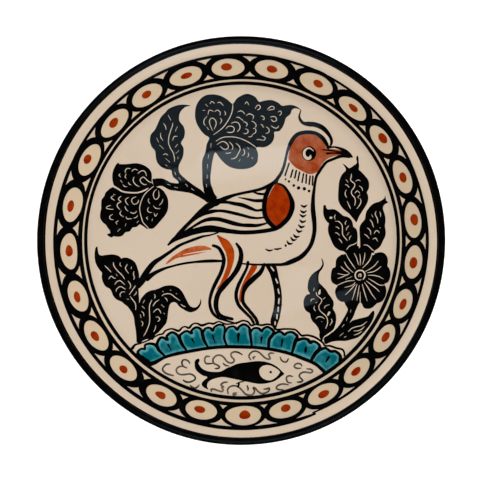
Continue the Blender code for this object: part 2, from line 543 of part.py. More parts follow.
PETAL_LINES = [
    [(-59, -75.8, 3), (-63, -72.2, 2.4), (-64.2, -69, 1.5), (-61.8, -67, 1), (-59.9, -67.6, 1.2),
     (-60, -65, 1.3), (-57.5, -64, 1.2), (-54.4, -64.4, 1.6), (-52.4, -66, 2), (-51.3, -68.1, 1.8),
     (-47.5, -71.7, 1)],
    [(-52.4, -66, 1.6), (-52.4, -63.7, 1.6), (-51, -60.9, 1.6), (-48.9, -60.2, 1.4),
     (-46, -61.6, 1.8), (-46.6, -59.4, 1.5), (-43.3, -57, 1.4), (-40, -58.8, 1.7),
     (-38.4, -61.5, 2), (-37, -64.4, 1.9), (-34.2, -68.1, 1)],
    [(-38.3, -60.6, 1.6), (-38.2, -58.6, 1.4), (-34.4, -56.2, 1.2), (-31, -57.8, 1.6),
     (-31.3, -56, 1.3), (-28.3, -53.9, 1.3), (-25.3, -55.3, 1.5), (-24.4, -58, 2),
     (-23.4, -61.8, 1.8), (-20.8, -66.3, 1)],
    [(-24.2, -57, 1.6), (-22.5, -54.6, 1.2), (-19.6, -54.3, 1.2), (-18, -55.9, 1.8),
     (-17.1, -53.9, 1.2), (-14.1, -52.2, 1.1), (-10.8, -53.4, 1.2), (-10.7, -57.6, 1.2),
     (-10.8, -61, 1.5), (-8.9, -65.8, 1)],
    [(-10.4, -57, 1.2), (-8.5, -54.1, 1.1), (-5, -53.3, 1.1), (-2.7, -55.2, 1.8),
     (-1.8, -53.7, 1.3), (1.3, -52, 1.3), (4.6, -54, 1.4), (5.3, -58, 1.8), (6.4, -65.3, 1.2)],
    [(5.5, -57, 1.3), (7.3, -54.6, 1.2), (10.4, -54.4, 1.3), (12.5, -56.2, 1.8),
     (13.4, -54.8, 1.3), (16.4, -53.6, 1.3), (19.9, -56.2, 1.6), (19.6, -58, 1.9),
     (17.2, -61.5, 1.9), (16.8, -66, 1.7)],
    [(19.4, -58.3, 1.6), (22.3, -56.8, 1.3), (24.6, -56.7, 1.3), (26.6, -58.4, 1.6),
     (28.1, -57.2, 1.3), (31.4, -56.8, 1.4), (34.6, -59.4, 1.7), (33.4, -62.5, 2.2),
     (31.5, -69, 1.4)],
    [(34.4, -61.8, 1.8), (38.3, -60.7, 1.5), (41.2, -61.4, 1.7), (42.6, -63, 2.2),
     (45.1, -62.4, 1.4), (48.2, -64.6, 1.6), (48.3, -67.2, 2.2), (45.8, -69.8, 2.2),
     (43.5, -73.5, 1.8)],
    [(47.8, -67.8, 2), (52, -66.5, 1.4), (55.3, -68.5, 1.6), (58.2, -68.4, 1.6),
     (61.1, -70.9, 1.7), (61.2, -74.2, 2.2)]]
PETALS = [
    [(-63.2, -69.2), (-60.8, -67.8), (-59.3, -68.4), (-59.1, -66.4), (-56.8, -65), (-53.8, -66.4),
     (-52.4, -68.8), (-47.9, -71.8), (-54, -75), (-58, -76), (-61.7, -72.6)],
    [(-50.6, -69.6), (-51.6, -64.6), (-50, -61.7), (-48, -61.2), (-45.2, -62.9), (-45.3, -59.4),
     (-42.6, -58.2), (-40.2, -60), (-37.7, -64.2), (-34.9, -67.7), (-42.4, -69.7), (-46.9, -71.2)],
    [(-34, -67.2), (-36.8, -63.5), (-37.1, -59), (-34.4, -57), (-30.8, -58.9), (-30.2, -55.4),
     (-28, -54.7), (-25.5, -56.6), (-25.1, -59.5), (-21.5, -65.8), (-30.7, -67.4)],
    [(-20.5, -65.8), (-23, -61.4), (-23.1, -56.3), (-20.8, -54.8), (-18, -56.7), (-16.4, -53.7),
     (-14, -53), (-11.1, -54.6), (-11.4, -60), (-9.7, -65.1), (-15, -65.4)],
    [(-8.6, -65), (-9.6, -60.4), (-8.6, -55.2), (-5.6, -54), (-2.8, -55.9), (-0.6, -53.4),
     (1.8, -52.8), (4.2, -55), (4.4, -60), (5.5, -65), (-2, -65.1)],
    [(6.9, -65.2), (6.3, -59), (7.5, -55.4), (9.7, -54.9), (12.5, -57.2), (14.2, -54.8),
     (17, -54.4), (19.2, -56.6), (16.8, -61), (16.1, -65.5), (11.5, -65.6)],
    [(17.8, -66.4), (18.6, -61.8), (21.2, -58), (23.8, -57.3), (26.6, -59), (29.7, -57.5),
     (33, -58.6), (34, -60.8), (31.8, -65.6), (30.8, -69.2), (25, -67.8)],
    [(32.6, -69.4), (33.6, -65), (36.7, -61.9), (39.8, -61.6), (42, -63.9), (45.1, -63.3),
     (47.4, -65.6), (46, -68.8), (43.2, -73.2), (37, -71.2)],
    [(44, -74.4), (46.4, -70.6), (50.3, -68), (53, -67.6), (55, -69.2), (58.4, -69.4),
     (60.6, -72.5), (58.2, -76.3), (52.3, -80.4), (48.6, -77.2)]]
FISH = [
    (-26.2, -74.4), (-26, -77.4), (-22.9, -80.2), (-17.4, -81.4), (-11.3, -80.4), (-3.4, -76.7),
    (4.6, -75.3), (14, -74.9), (20, -76.9), (26.6, -82.5), (20.5, -87), (12.5, -88.6), (3, -87.2),
    (-8, -85.1), (-15, -85.1), (-20.2, -87.4), (-20.6, -91.8), (-24.4, -89.3), (-23.6, -86.8),
    (-21.4, -84.7), (-26.7, -81.8), (-29, -77)]
FISH_FACE = [
    (11.9, -78.6), (16.3, -77.1), (21, -78.8), (24, -81.4), (20.6, -85.2), (15.9, -86.3),
    (11.2, -82)]
EYE = (41.9, 54.0, 4.5)


def make_border():
    inner, outer = [ring(r) for r in INNER_LINE], [ring(r) for r in OUTER_LINE]
    links, holes, dots = [], [], []
    for k, (degrees, half) in enumerate(LINKS):
        before = (degrees - LINKS[k - 1][0]) % 360 * DEGREE / 2 + LINK_OVERLAP
        after = (LINKS[(k + 1) % len(LINKS)][0] - degrees) % 360 * DEGREE / 2 + LINK_OVERLAP
        links.append(oval(degrees, before, after, LINK_HEIGHT, 10))
        holes.append(oval(degrees, half, half, HOLE_HEIGHT, 10))
        dots.append(oval(degrees, DOT_SIZE[0], DOT_SIZE[0], DOT_SIZE[1], 6))
    places, faces = triangles([s.outline() for s in inner + outer + links + holes])
    middles = places[faces].mean(axis=1)
    within, beyond = outer[1].holds(middles), ~inner[0].holds(middles)
    painted = within & ~outer[0].holds(middles) | inner[1].holds(middles) & beyond
    for link in links:
        painted |= link.holds(middles) & beyond & within
    for hole in holes:
        painted &= ~hole.holds(middles)
    loops = [simplified(loop) for loop in border_loops(places, faces[painted])]
    places, faces = triangles(loops)
    loft("border_chain", places, faces[in_loops(places[faces].mean(axis=1), loops)], BLACK)
    for k, dot in enumerate(dots, start=1):
        places, faces = triangles([dot.outline()])
        loft(f"border_dot_{k:02d}", places, faces, RED)


def make_bird():
    legs = [Wash(HIND_LEG)]
    scallops = clear_of_strokes([SCALLOPS])
    film("bird_outline", [Stroke(s) for s in BIRD_STROKES] + legs, scallops, BLACK)
    film("bird_eye", [disc(*EYE)], [], BLACK)
    lines = clear_of_strokes(BIRD_STROKES)
    x, y, radius = EYE
    film("bird_head_red", [Wash(HEAD_RED)], lines + [disc(x, y, radius + NEIGHBOUR_GAP)], RED)
    film("bird_wing_red", [Wash(WING_RED)], lines, RED)
    film("bird_tail_red", [Wash(TAIL_RED)], lines, RED)
    for k, points in enumerate(LEG_REDS, start=1):
        film(f"bird_leg_red_{k}", [Wash(points)], lines, RED)


def make_plants():
    bird = clear_of_strokes(BIRD_STROKES)
    scallops = clear_of_strokes([SCALLOPS])
    film("flower_top", [Wash(FLOWER_TOP)], bird, BLACK)
    film("leaf_top", [Wash(LEAF_TOP)], bird + clear_of_wash(FLOWER_TOP), BLACK)
    film("flower_left", [Wash(FLOWER_LEFT)], clear_of_wash(LEAF_TOP), BLACK)
    film("leaf_pair_left", [Wash(LEAF_PAIR)], bird + scallops, BLACK)
    film("leaf_right", [Wash(LEAF_RIGHT)], [], BLACK)
    film("flower_right", [Wash(FLOWER_RIGHT)], scallops + clear_of_wash(LEAF_CURLED), BLACK)
    film("leaf_curled", [Wash(LEAF_CURLED)], scallops, BLACK)


def make_bank():
    inside = [ring(RADIUS), ring(WELL_LINE[0] - GAP)]
    beyond = RimCutter(*inside)
    film("bank_scallop", [Stroke(SCALLOPS)], [beyond], BLACK)
    lines = [Stroke(WATER_LINE)] + [Stroke(s) for s in PETAL_LINES]
    film("bank_outline", lines, [beyond] + clear_of_strokes([SCALLOPS]), BLACK)
    gaps = clear_of_strokes([WATER_LINE] + PETAL_LINES)
    for k, petal in enumerate(PETALS, start=1):
        film(f"bank_petal_{k}", [Wash(petal)], [beyond] + gaps, TURQUOISE)
    film("fish", [Wash(FISH)], [Wash(FISH_FACE)], BLACK)


for leftover in list(bpy.data.objects):
    bpy.data.objects.remove(leftover, do_unlink=True)
make_clay_body()
make_foot_ring()
make_coats()
make_rim_band()
make_well_ring()
make_border()
make_bird()
make_plants()
make_bank()
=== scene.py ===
"""Looks of the hand painted ceramic plate: glazes, brushed decoration, floor, light and camera.

Shapes are worked out in millimetres and MM turns them into metres. +Z is up, the plate stands
on its foot ring at z = 0 and the painted bird faces +X. Every painted piece is a thin skin of
paint that lies a hair above the front glaze and takes its normals from the dish.
"""
import math

import bpy
import numpy as np
from mathutils import Matrix, Vector
from mathutils.geometry import delaunay_2d_cdt
from mathutils.kdtree import KDTree


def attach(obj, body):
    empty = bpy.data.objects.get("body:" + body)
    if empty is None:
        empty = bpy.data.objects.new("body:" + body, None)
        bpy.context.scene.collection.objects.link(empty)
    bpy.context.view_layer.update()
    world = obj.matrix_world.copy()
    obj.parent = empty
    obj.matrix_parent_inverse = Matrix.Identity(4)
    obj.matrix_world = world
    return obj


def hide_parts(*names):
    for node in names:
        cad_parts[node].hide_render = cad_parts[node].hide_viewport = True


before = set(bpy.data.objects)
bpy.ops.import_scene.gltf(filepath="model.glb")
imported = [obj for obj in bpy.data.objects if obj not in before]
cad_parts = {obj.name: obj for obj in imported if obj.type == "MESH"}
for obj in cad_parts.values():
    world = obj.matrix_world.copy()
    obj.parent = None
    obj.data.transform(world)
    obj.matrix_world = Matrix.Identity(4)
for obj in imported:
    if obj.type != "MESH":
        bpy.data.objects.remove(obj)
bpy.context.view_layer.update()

MM = 0.001
rng = np.random.default_rng(11)

# The dish, as in the solids
RADIUS = 125.0
WELL_HEIGHT, FLOOR_BEND = 11.5, 620.0
WALL_START, WALL_FULL = 90.0, 97.5
LEDGE_START, LEDGE_FULL = 112.5, 117.5
WALL_SLOPE, LEDGE_SLOPE_DROP = 0.56, 0.63
BODY_THICKNESS, COAT, GAP = 6.0, 0.5, 0.3
FOOT_INNER, FOOT_OUTER = 56.0, 63.0
LIP_INNER = 120.6
TURNS = 288

# The border: its links as (degrees clockwise from the top, half width, inner radius, outer radius)
LINK_RADIUS = 107.0
LINKS = [
    (-4.1, 10.2, 101.7, 111.6), (10.4, 10.3, 101.8, 111.9), (26.0, 10.9, 101.7, 112.1),
    (40.5, 10.3, 101.8, 111.0), (54.5, 10.0, 101.5, 110.8), (68.8, 10.5, 101.8, 111.4),
    (83.4, 10.9, 101.5, 111.3), (97.2, 10.2, 101.8, 111.9), (111.3, 9.3, 101.7, 111.8),
    (124.2, 9.5, 101.8, 111.6), (138.2, 9.7, 102.2, 112.1), (151.6, 10.1, 101.8, 112.0),
    (165.0, 10.1, 102.3, 112.0), (178.9, 10.9, 101.9, 113.0), (193.0, 9.9, 101.7, 112.2),
    (207.0, 10.0, 101.9, 112.4), (222.5, 9.8, 101.7, 111.9), (236.6, 10.6, 101.7, 111.9),
    (251.1, 10.2, 101.1, 111.2), (266.4, 11.3, 101.6, 110.9), (282.1, 10.8, 101.0, 111.5),
    (298.1, 10.7, 101.0, 110.9), (313.0, 11.0, 101.5, 111.3), (327.2, 10.3, 101.4, 111.8),
    (341.7, 10.3, 101.7, 111.5)]
LINK_HEIGHT, LINK_OVERLAP = 7.5, 1.1
DEGREE = LINK_RADIUS * math.tau / 360
# Brushed lines round the plate as (degrees, radius, width); the rim's edge has no width
WELL_LINE = [
    (0, 97.45, 2.0), (30, 97.45, 2.2), (60, 97.05, 2.0), (90, 96.9, 2.1), (120, 96.85, 2.4),
    (150, 97.1, 2.3), (180, 97.2, 2.2), (210, 96.9, 2.0), (240, 96.55, 2.1), (270, 96.7, 2.0),
    (300, 97.1, 1.9), (330, 97.45, 2.0)]
INNER_LINE = [
    (0, 100.6, 1.9), (30, 100.7, 2.0), (60, 100.5, 2.3), (90, 100.2, 2.5), (120, 100.6, 2.2),
    (150, 101.0, 2.1), (180, 100.9, 2.3), (210, 100.7, 2.2), (240, 100.2, 2.3), (270, 99.9, 2.5),
    (300, 99.95, 2.2), (330, 100.4, 1.9)]
OUTER_LINE = [
    [(297, 113.7, 1.6), (320, 113.8, 1.8), (345, 113.8, 1.7), (363, 113.6, 1.7), (378, 113.5, 1.6),
     (393, 113.6, 1.4), (407, 113.7, 1.6), (421, 113.8, 1.9), (436, 113.8, 1.7), (450, 114.2, 2.0),
     (464, 114.0, 1.9), (478, 114.2, 1.7), (492, 114.2, 1.6), (505, 114.3, 1.6), (518, 114.2, 0.9)],
    [(156.5, 115.3, 1.2), (160, 115.1, 1.9), (172, 114.8, 2.4), (186, 114.8, 2.2), (200, 114.5, 2.4),
     (215, 114.3, 2.3), (230, 114.2, 2.1), (244, 114.1, 2.2), (259, 114.1, 2.0), (274, 113.9, 2.1),
     (290, 113.7, 2.1), (300, 113.5, 1.2)]]
RIM_EDGE = [
    (0, 120.0), (30, 119.85), (60, 119.6), (90, 119.9), (120, 120.3), (150, 120.55), (180, 120.3),
    (210, 119.9), (240, 119.9), (270, 119.6), (300, 119.95), (330, 120.2)]
WELL_EDGE, LEDGE_EDGE = 96.6, 114.6

# How high the skins of paint lie over the glaze, lowest first
WASH_LIFT, SOFT_LIFT, BLACK_LIFT = 0.05, 0.07, 0.1
STROKE_STEP, WASH_STEP, FLATNESS, LEAST_EDGE = 0.8, 1.0, 0.012, 0.12

GLAZE_ROUGHNESS = 0.025
SKY, BRIGHT_SKY, SIDE_SKY = (0.56, 0.82, 1.0), (0.64, 0.84, 1.0), (0.65, 0.85, 1.0)
WINDOW_HEIGHT, WINDOW_TURN = 2.2, 4.5


# ---------------------------------------------------------------- the dish

def ramp(r, start, full):
    """Height gained by a slope that grows smoothly from 0 to 1 between two radii."""
    t = np.clip((r - start) / (full - start), 0.0, 1.0)
    return (full - start) * (t ** 3 - t ** 4 / 2) + np.maximum(r - full, 0.0)


def top(r):
    """Height of the glazed upper face at a radius."""
    r = np.asarray(r, dtype=float)
    height = WELL_HEIGHT + r ** 2 / (2 * FLOOR_BEND)
    height = height + WALL_SLOPE * ramp(r, WALL_START, WALL_FULL)
    return height - LEDGE_SLOPE_DROP * ramp(r, LEDGE_START, LEDGE_FULL)


def slope(r):
    """How steeply the upper face rises at a radius."""
    r = np.asarray(r, dtype=float)
    return np.where(r > 0.02, (top(r + 0.02) - top(r - 0.02)) / 0.04, 0.0)


def below(r, depth):
    """A profile point a depth under the upper face, measured square to it."""
    s = float(slope(r))
    length = math.hypot(1.0, s)
    return (max(r + depth * s / length, 0.0), float(top(r)) - depth / length)


def piece(name, places, faces, kind, normals=None, attributes=None):
    """A named mesh from points in millimetres; it rides on the root and takes a finish."""
    mesh = bpy.data.meshes.new(name)
    mesh.from_pydata((np.asarray(places) * MM).tolist(), [], [list(map(int, f)) for f in faces])
    mesh.shade_smooth()
    for label, values in (attributes or {}).items():
        layer = mesh.attributes.new(label, "FLOAT", "POINT")
        layer.data.foreach_set("value", np.asarray(values, dtype=np.float32))
    if normals is not None:
        mesh.normals_split_custom_set_from_vertices(np.asarray(normals).tolist())
    mesh.materials.append(kind)
    thing = bpy.data.objects.new(name, mesh)
    bpy.context.scene.collection.objects.link(thing)
    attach(thing, "root")
    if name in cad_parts:
        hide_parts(name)
    return thing


def turned(name, profile, kind):
    """Spin a closed (radius, height) profile round the Z axis."""
    profile = np.asarray(profile, dtype=float)
    count = len(profile)
    turns = np.linspace(0, math.tau, TURNS, endpoint=False)
    places = np.stack([np.outer(np.cos(turns), profile[:, 0]), np.outer(np.sin(turns), profile[:, 0]),
                       np.tile(profile[:, 1], (TURNS, 1))], axis=2).reshape(-1, 3)
    faces = []
    for i in range(TURNS):
        here, there = i * count, (i + 1) % TURNS * count
        for j in range(count):
            k = (j + 1) % count
            if profile[j, 0] < 1e-6 and profile[k, 0] < 1e-6:
                continue
            faces.append((here + j, here + k, there + k, there + j))
    return piece(name, places, faces, kind)


# ---------------------------------------------------------------- the brush

def along(points, step, closed=False):
    """Points about a step apart on the Catmull-Rom curve through the given points."""
    knots = np.array(points, dtype=float)
    count = len(knots)
    if closed:
        padded = np.vstack([knots[-1], knots, knots[:2]])
    else:
        padded = np.vstack([2 * knots[0] - knots[1], knots, 2 * knots[-1] - knots[-2]])
    result = []
    for i in range(count if closed else count - 1):
        a, b, c, d = padded[i:i + 4]
        pieces = max(1, int(round(math.dist(b[:2], c[:2]) / step)))
        for j in range(pieces):
            t = j / pieces
            result.append(0.5 * (2 * b + (c - a) * t + (2 * a - 5 * b + 4 * c - d) * t * t
                                 + (3 * b - a - 3 * c + d) * t ** 3))
    if not closed:
        result.append(knots[-1])
    return np.array(result)


class Stroke:
    """A brush stroke through (x, y) or (x, y, width) points, round at both ends."""

    def __init__(self, points, width=1.1, taper=0.7, grow=0.0):
        knots = [(*p[:2], p[2] if len(p) > 2 else width) for p in points]
        if len(points[0]) == 2:
            knots[0] = (*knots[0][:2], width * taper)
            knots[-1] = (*knots[-1][:2], width * taper)
        self.line = along(knots, STROKE_STEP)
        self.line[:, 2] = np.maximum(self.line[:, 2], 0.35) + 2 * grow

    def outline(self):
        line = self.line
        heading = np.gradient(line[:, :2], axis=0)
        heading /= np.maximum(np.linalg.norm(heading, axis=1), 1e-9)[:, None]
        side = np.stack([-heading[:, 1], heading[:, 0]], axis=1)
        turns = np.radians([-60, -30, 0, 30, 60])[:, None]
        last = line[-1, :2] + (np.cos(turns) * heading[-1] + np.sin(turns) * side[-1]) * line[-1, 2] / 2
        first = line[0, :2] - (np.cos(turns) * heading[0] + np.sin(turns) * side[0]) * line[0, 2] / 2
        reach = side * line[:, 2:3] / 2
        return np.vstack([first, line[:, :2] - reach, last, (line[:, :2] + reach)[::-1]])

    def holds(self, spots):
        inside = np.zeros(len(spots), dtype=bool)
        box_low = self.line[:, :2].min(axis=0) - 4
        box_high = self.line[:, :2].max(axis=0) + 4
        near_enough = np.flatnonzero(np.all((spots > box_low) & (spots < box_high), axis=1))
        close = spots[near_enough]
        found = np.zeros(len(close), dtype=bool)
        for a, b in zip(self.line, self.line[1:]):
            reach = b[:2] - a[:2]
            t = np.clip((close - a[:2]) @ reach / max(reach @ reach, 1e-12), 0, 1)
            near = a[:2] + t[:, None] * reach
            width = a[2] + t * (b[2] - a[2])
            found |= np.linalg.norm(close - near, axis=1) < width / 2
        inside[near_enough] = found
        return inside


class Wash:
    """A closed outline filled with paint; smooth=False joins its points with straight lines."""

    def __init__(self, points, smooth=True):
        self.line = along(points, WASH_STEP, closed=True) if smooth else np.array(points, dtype=float)

    def outline(self):
        return self.line

    def holds(self, spots):
        return in_loops(spots, [self.line])


class Beyond:
    """Everything outside a circle."""

    def __init__(self, radius):
        self.radius = radius

    def outline(self):
        return circle(self.radius, 400)

    def holds(self, spots):
        return np.hypot(spots[:, 0], spots[:, 1]) > self.radius


def circle(radius, points, x=0.0, y=0.0):
    """Points round a circle, counterclockwise."""
    turns = np.linspace(0, math.tau, points, endpoint=False)
    return np.stack([x + radius * np.cos(turns), y + radius * np.sin(turns)], axis=1)


def in_loops(spots, loops):
    """Even-odd test of many spots against closed loops."""
    odd = np.zeros(len(spots), dtype=bool)
    for loop in loops:
        for (x0, y0), (x1, y1) in zip(loop, np.roll(loop, -1, axis=0)):
            if y0 == y1:
                continue
            crosses = (y0 > spots[:, 1]) != (y1 > spots[:, 1])
            odd ^= crosses & (spots[:, 0] < x0 + (spots[:, 1] - y0) * (x1 - x0) / (y1 - y0))
    return odd


def triangles(loops, loose=()):
    """Constrained triangulation of the plane by a set of loops and some loose points."""
    spots, edges = [], []
    for loop in loops:
        start, size = len(spots), len(loop)
        spots += [Vector((float(x), float(y))) for x, y in loop]
        edges += [(start + i, start + (i + 1) % size) for i in range(size)]
    spots += [Vector((float(x), float(y))) for x, y in loose]
    made = delaunay_2d_cdt(spots, edges, [], 0, 1e-5)
    return np.array([tuple(v) for v in made[0]]), np.array([tuple(f) for f in made[2]])


def border_loops(places, faces):
    """Loops round a patch of triangles, each walked with the patch on its left."""
    onward = {}
    edges = {(face[i], face[(i + 1) % 3]) for face in faces.tolist() for i in range(3)}
    for a, b in sorted(edges):
        if (b, a) not in edges:
            onward.setdefault(a, []).append(b)
    loops = []
    while onward:
        start = min(onward)
        loop = [start]
        while True:
            ends = onward[loop[-1]]
            step = ends.pop()
            if not ends:
                del onward[loop[-1]]
            if step == start:
                break
            loop.append(step)
        loops.append(places[loop])
    return loops


def simplified(loop):
    """The loop without its crowded and its nearly straight points."""
    kept = [loop[0]]
    for i in range(1, len(loop)):
        here, ahead = loop[i], loop[(i + 1) % len(loop)]
        reach = ahead - kept[-1]
        off = abs(reach[0] * (here - kept[-1])[1] - reach[1] * (here - kept[-1])[0])
        bulge = off / max(np.linalg.norm(reach), 1e-9)
        if np.linalg.norm(here - kept[-1]) > LEAST_EDGE and bulge > FLATNESS:
            kept.append(here)
    return np.array(kept)


def subdivided(loop, step):
    """The loop with its long straight edges cut up, so that it can follow the dish."""
    result = []
    for a, b in zip(loop, np.roll(loop, -1, axis=0)):
        pieces = max(1, int(math.dist(a, b) / step))
        result += [a + (b - a) * j / pieces for j in range(pieces)]
    return np.array(result)


def skin(name, loops, kind, lift, grid):
    """Fill loops with paint and lay it over the dish."""
    loops = [subdivided(loop, 2.0) for loop in loops]
    rims = np.vstack(loops)
    low, high = rims.min(axis=0), rims.max(axis=0)
    tree = KDTree(len(rims))
    for i, (x, y) in enumerate(rims):
        tree.insert((x, y, 0.0), i)
    tree.balance()
    rows = np.arange(low[1], high[1], grid * 0.866)
    spots = np.array([(x + (j % 2) * grid / 2, y) for j, y in enumerate(rows)
                      for x in np.arange(low[0], high[0], grid)]).reshape(-1, 2)
    spots = spots[in_loops(spots, loops)]
    clear = [tree.find((x, y, 0.0))[2] > grid * 0.45 for x, y in spots]
    places, faces = triangles(loops, spots[np.array(clear, dtype=bool)])
    faces = faces[in_loops(places[faces].mean(axis=1), loops)]
    used, back = np.unique(faces.ravel(), return_inverse=True)
    places, faces = places[used], back.reshape(-1, 3)
    radii = np.hypot(places[:, 0], places[:, 1])
    tilt = slope(radii)
    out = places / np.maximum(radii, 1e-6)[:, None]
    normals = np.column_stack([-tilt[:, None] * out, np.ones(len(places))])
    normals /= np.linalg.norm(normals, axis=1)[:, None]
    heights = top(radii) + lift
    inset = [tree.find((x, y, 0.0))[2] for x, y in places]
    return piece(name, np.column_stack([places, heights]), faces, kind, normals,
                 {"inset": inset})


def film(name, shapes, cutters, kind, lift=BLACK_LIFT, grid=4.0):
    """One painted skin: the shapes less the cutters."""
    places, faces = triangles([s.outline() for s in [*shapes, *cutters]])
    middles = places[faces].mean(axis=1)
    painted = np.any([s.holds(middles) for s in shapes], axis=0)
    for cutter in cutters:
        painted &= ~cutter.holds(middles)
    loops = [simplified(loop) for loop in border_loops(places, faces[painted])]
    return skin(name, [loop for loop in loops if len(loop) > 2], kind, lift, grid)


def strokes(lists, width=1.1, taper=0.7, grow=0.0):
    """One brush stroke for each list of points."""
    return [Stroke(points, width, taper, grow) for points in lists]


# ---------------------------------------------------------------- materials

class Finish:
    """A Principled material and the few nodes that make its colour uneven."""

    def __init__(self, name, roughness=GLAZE_ROUGHNESS):
        self.material = bpy.data.materials.new(name)
        self.material.use_nodes = True
        self.nodes = self.material.node_tree.nodes
        self.links = self.material.node_tree.links
        self.shader = self.nodes["Principled BSDF"]
        self.shader.inputs["Roughness"].default_value = roughness
        self.shader.inputs["IOR"].default_value = 1.5

    def place(self):
        """The object's own coordinates, in metres."""
        return self.nodes.new("ShaderNodeTexCoord").outputs["Object"]

    def noise(self, scale, detail=3.0, roughness=0.55):
        """Noise over the object, in cycles per metre."""
        made = self.nodes.new("ShaderNodeTexNoise")
        made.inputs["Scale"].default_value = scale
        made.inputs["Detail"].default_value = detail
        made.inputs["Roughness"].default_value = roughness
        self.links.new(self.place(), made.inputs["Vector"])
        return made.outputs["Fac"]

    def spread(self, value, low, high, to_low=0.0, to_high=1.0):
        """Carry the values from low to high onto those from to_low to to_high."""
        made = self.nodes.new("ShaderNodeMapRange")
        made.inputs["From Min"].default_value = low
        made.inputs["From Max"].default_value = high
        made.inputs["To Min"].default_value = to_low
        made.inputs["To Max"].default_value = to_high
        self.links.new(value, made.inputs["Value"])
        return made.outputs["Result"]

    def blend(self, factor, first, second):
        """Mix two colours, each a colour tuple or a socket."""
        made = self.nodes.new("ShaderNodeMix")
        made.data_type = "RGBA"
        self.links.new(factor, made.inputs[0])
        for value, socket in ((first, made.inputs[6]), (second, made.inputs[7])):
            if isinstance(value, tuple):
                socket.default_value = (*value, 1.0)
            else:
                self.links.new(value, socket)
        return made.outputs[2]

    def coloured(self, colour, relief, strength, depth):
        """The material with its colour and with a slight relief made from noise."""
        bump = self.nodes.new("ShaderNodeBump")
        bump.inputs["Strength"].default_value = strength
        bump.inputs["Distance"].default_value = depth
        self.links.new(relief, bump.inputs["Height"])
        self.links.new(bump.outputs["Normal"], self.shader.inputs["Normal"])
        self.links.new(colour, self.shader.inputs["Base Color"])
        return self.material

    def glazed(self, colour):
        """Under a thick clear glaze, which has the same orange peel over slip and paint."""
        return self.coloured(colour, self.noise(90.0, 2.0), 0.035, 0.0004)


def make_cream():
    """Cream glaze with painted light on the wall: a brighter, warmer cream there than in the well and on the
    ledge.
    """
    finish = Finish("cream_glaze")
    cloud = finish.spread(finish.noise(14.0), 0.35, 0.7)
    colour = finish.blend(cloud, (0.705, 0.57, 0.44), (0.675, 0.535, 0.405))
    reach = finish.nodes.new("ShaderNodeVectorMath")
    reach.operation = "LENGTH"
    finish.links.new(finish.place(), reach.inputs[0])
    # Painted light: the sloping wall gets a brighter, warmer cream that stands in for the light falling on
    # it.
    wall_painted_light = finish.spread(reach.outputs["Value"], 0.097, 0.105)
    colour = finish.blend(wall_painted_light, colour, (0.755, 0.585, 0.395))
    # The ledge goes back to a plain cream, without the wall's painted light.
    on_ledge = finish.spread(reach.outputs["Value"], 0.113, 0.117)
    colour = finish.blend(on_ledge, colour, (0.69, 0.55, 0.415))
    grain = finish.spread(finish.noise(900.0, 2.0), 0.62, 0.78, 0.0, 0.35)
    return finish.glazed(finish.blend(grain, colour, (0.52, 0.38, 0.26)))


def make_paint(name, deep, pale, scale, low, high, detail=4.0, roughness=0.6):
    """Brushed paint whose tone wanders from deep to pale as the noise goes from low to high."""
    finish = Finish(name)
    patch = finish.spread(finish.noise(scale, detail, roughness), low, high)
    return finish.glazed(finish.blend(patch, deep, pale))


def make_turquoise():
    """A wash that is pale at its edge and gathers toward its middle."""
    finish = Finish("turquoise_paint")
    inset = finish.nodes.new("ShaderNodeAttribute")
    inset.attribute_name = "inset"
    gathered = finish.nodes.new("ShaderNodeMath")
    gathered.operation = "ADD"
    gathered.use_clamp = True
    finish.links.new(finish.spread(inset.outputs["Fac"], 0.2, 2.4), gathered.inputs[0])
    patch = finish.spread(finish.noise(150.0, 4.0, 0.6), 0.3, 0.7, -0.3, 0.3)
    finish.links.new(patch, gathered.inputs[1])
    return finish.glazed(finish.blend(gathered.outputs[0], (0.10, 0.41, 0.45), (0.0, 0.115, 0.142)))


def make_clay():
    """Bare fired clay with fine grit."""
    finish = Finish("clay", 0.85)
    cloud = finish.spread(finish.noise(40.0, 5.0), 0.3, 0.7)
    colour = finish.blend(cloud, (0.50, 0.27, 0.15), (0.58, 0.36, 0.22))
    grit = finish.spread(finish.noise(1500.0, 2.0), 0.6, 0.75)
    colour = finish.blend(grit, colour, (0.30, 0.15, 0.08))
    return finish.coloured(colour, finish.noise(1800.0), 0.5, 0.0002)


CREAM, CLAY, TURQUOISE = make_cream(), make_clay(), make_turquoise()
BLACK = make_paint("black_paint", (0.0008, 0.0008, 0.0010), (0.005, 0.0048, 0.0046), 160.0, 0.5, 0.8)
THIN = make_paint("thin_black_paint", (0.025, 0.022, 0.018), (0.15, 0.118, 0.09), 120.0, 0.35, 0.65,
                  detail=3.0, roughness=0.55)
RED = make_paint("red_paint", (0.27, 0.013, 0.0), (0.40, 0.045, 0.002), 190.0, 0.35, 0.7)
BRIGHT_RED = make_paint("bright_red_paint", (0.34, 0.03, 0.001), (0.49, 0.07, 0.004), 190.0, 0.35, 0.7)
THIN_RED = make_paint("thin_red_paint", (0.33, 0.045, 0.008), (0.42, 0.125, 0.055), 190.0, 0.35, 0.7)
ORANGE = make_paint("orange_paint", (0.40, 0.05, 0.004), (0.60, 0.17, 0.06), 190.0, 0.35, 0.7)


# ---------------------------------------------------------------- the drawing
# x and y in millimetres from the middle of the plate. A third number is a stroke's width
# there; strokes without one get their list's width. SCRATCHES are lines left bare.

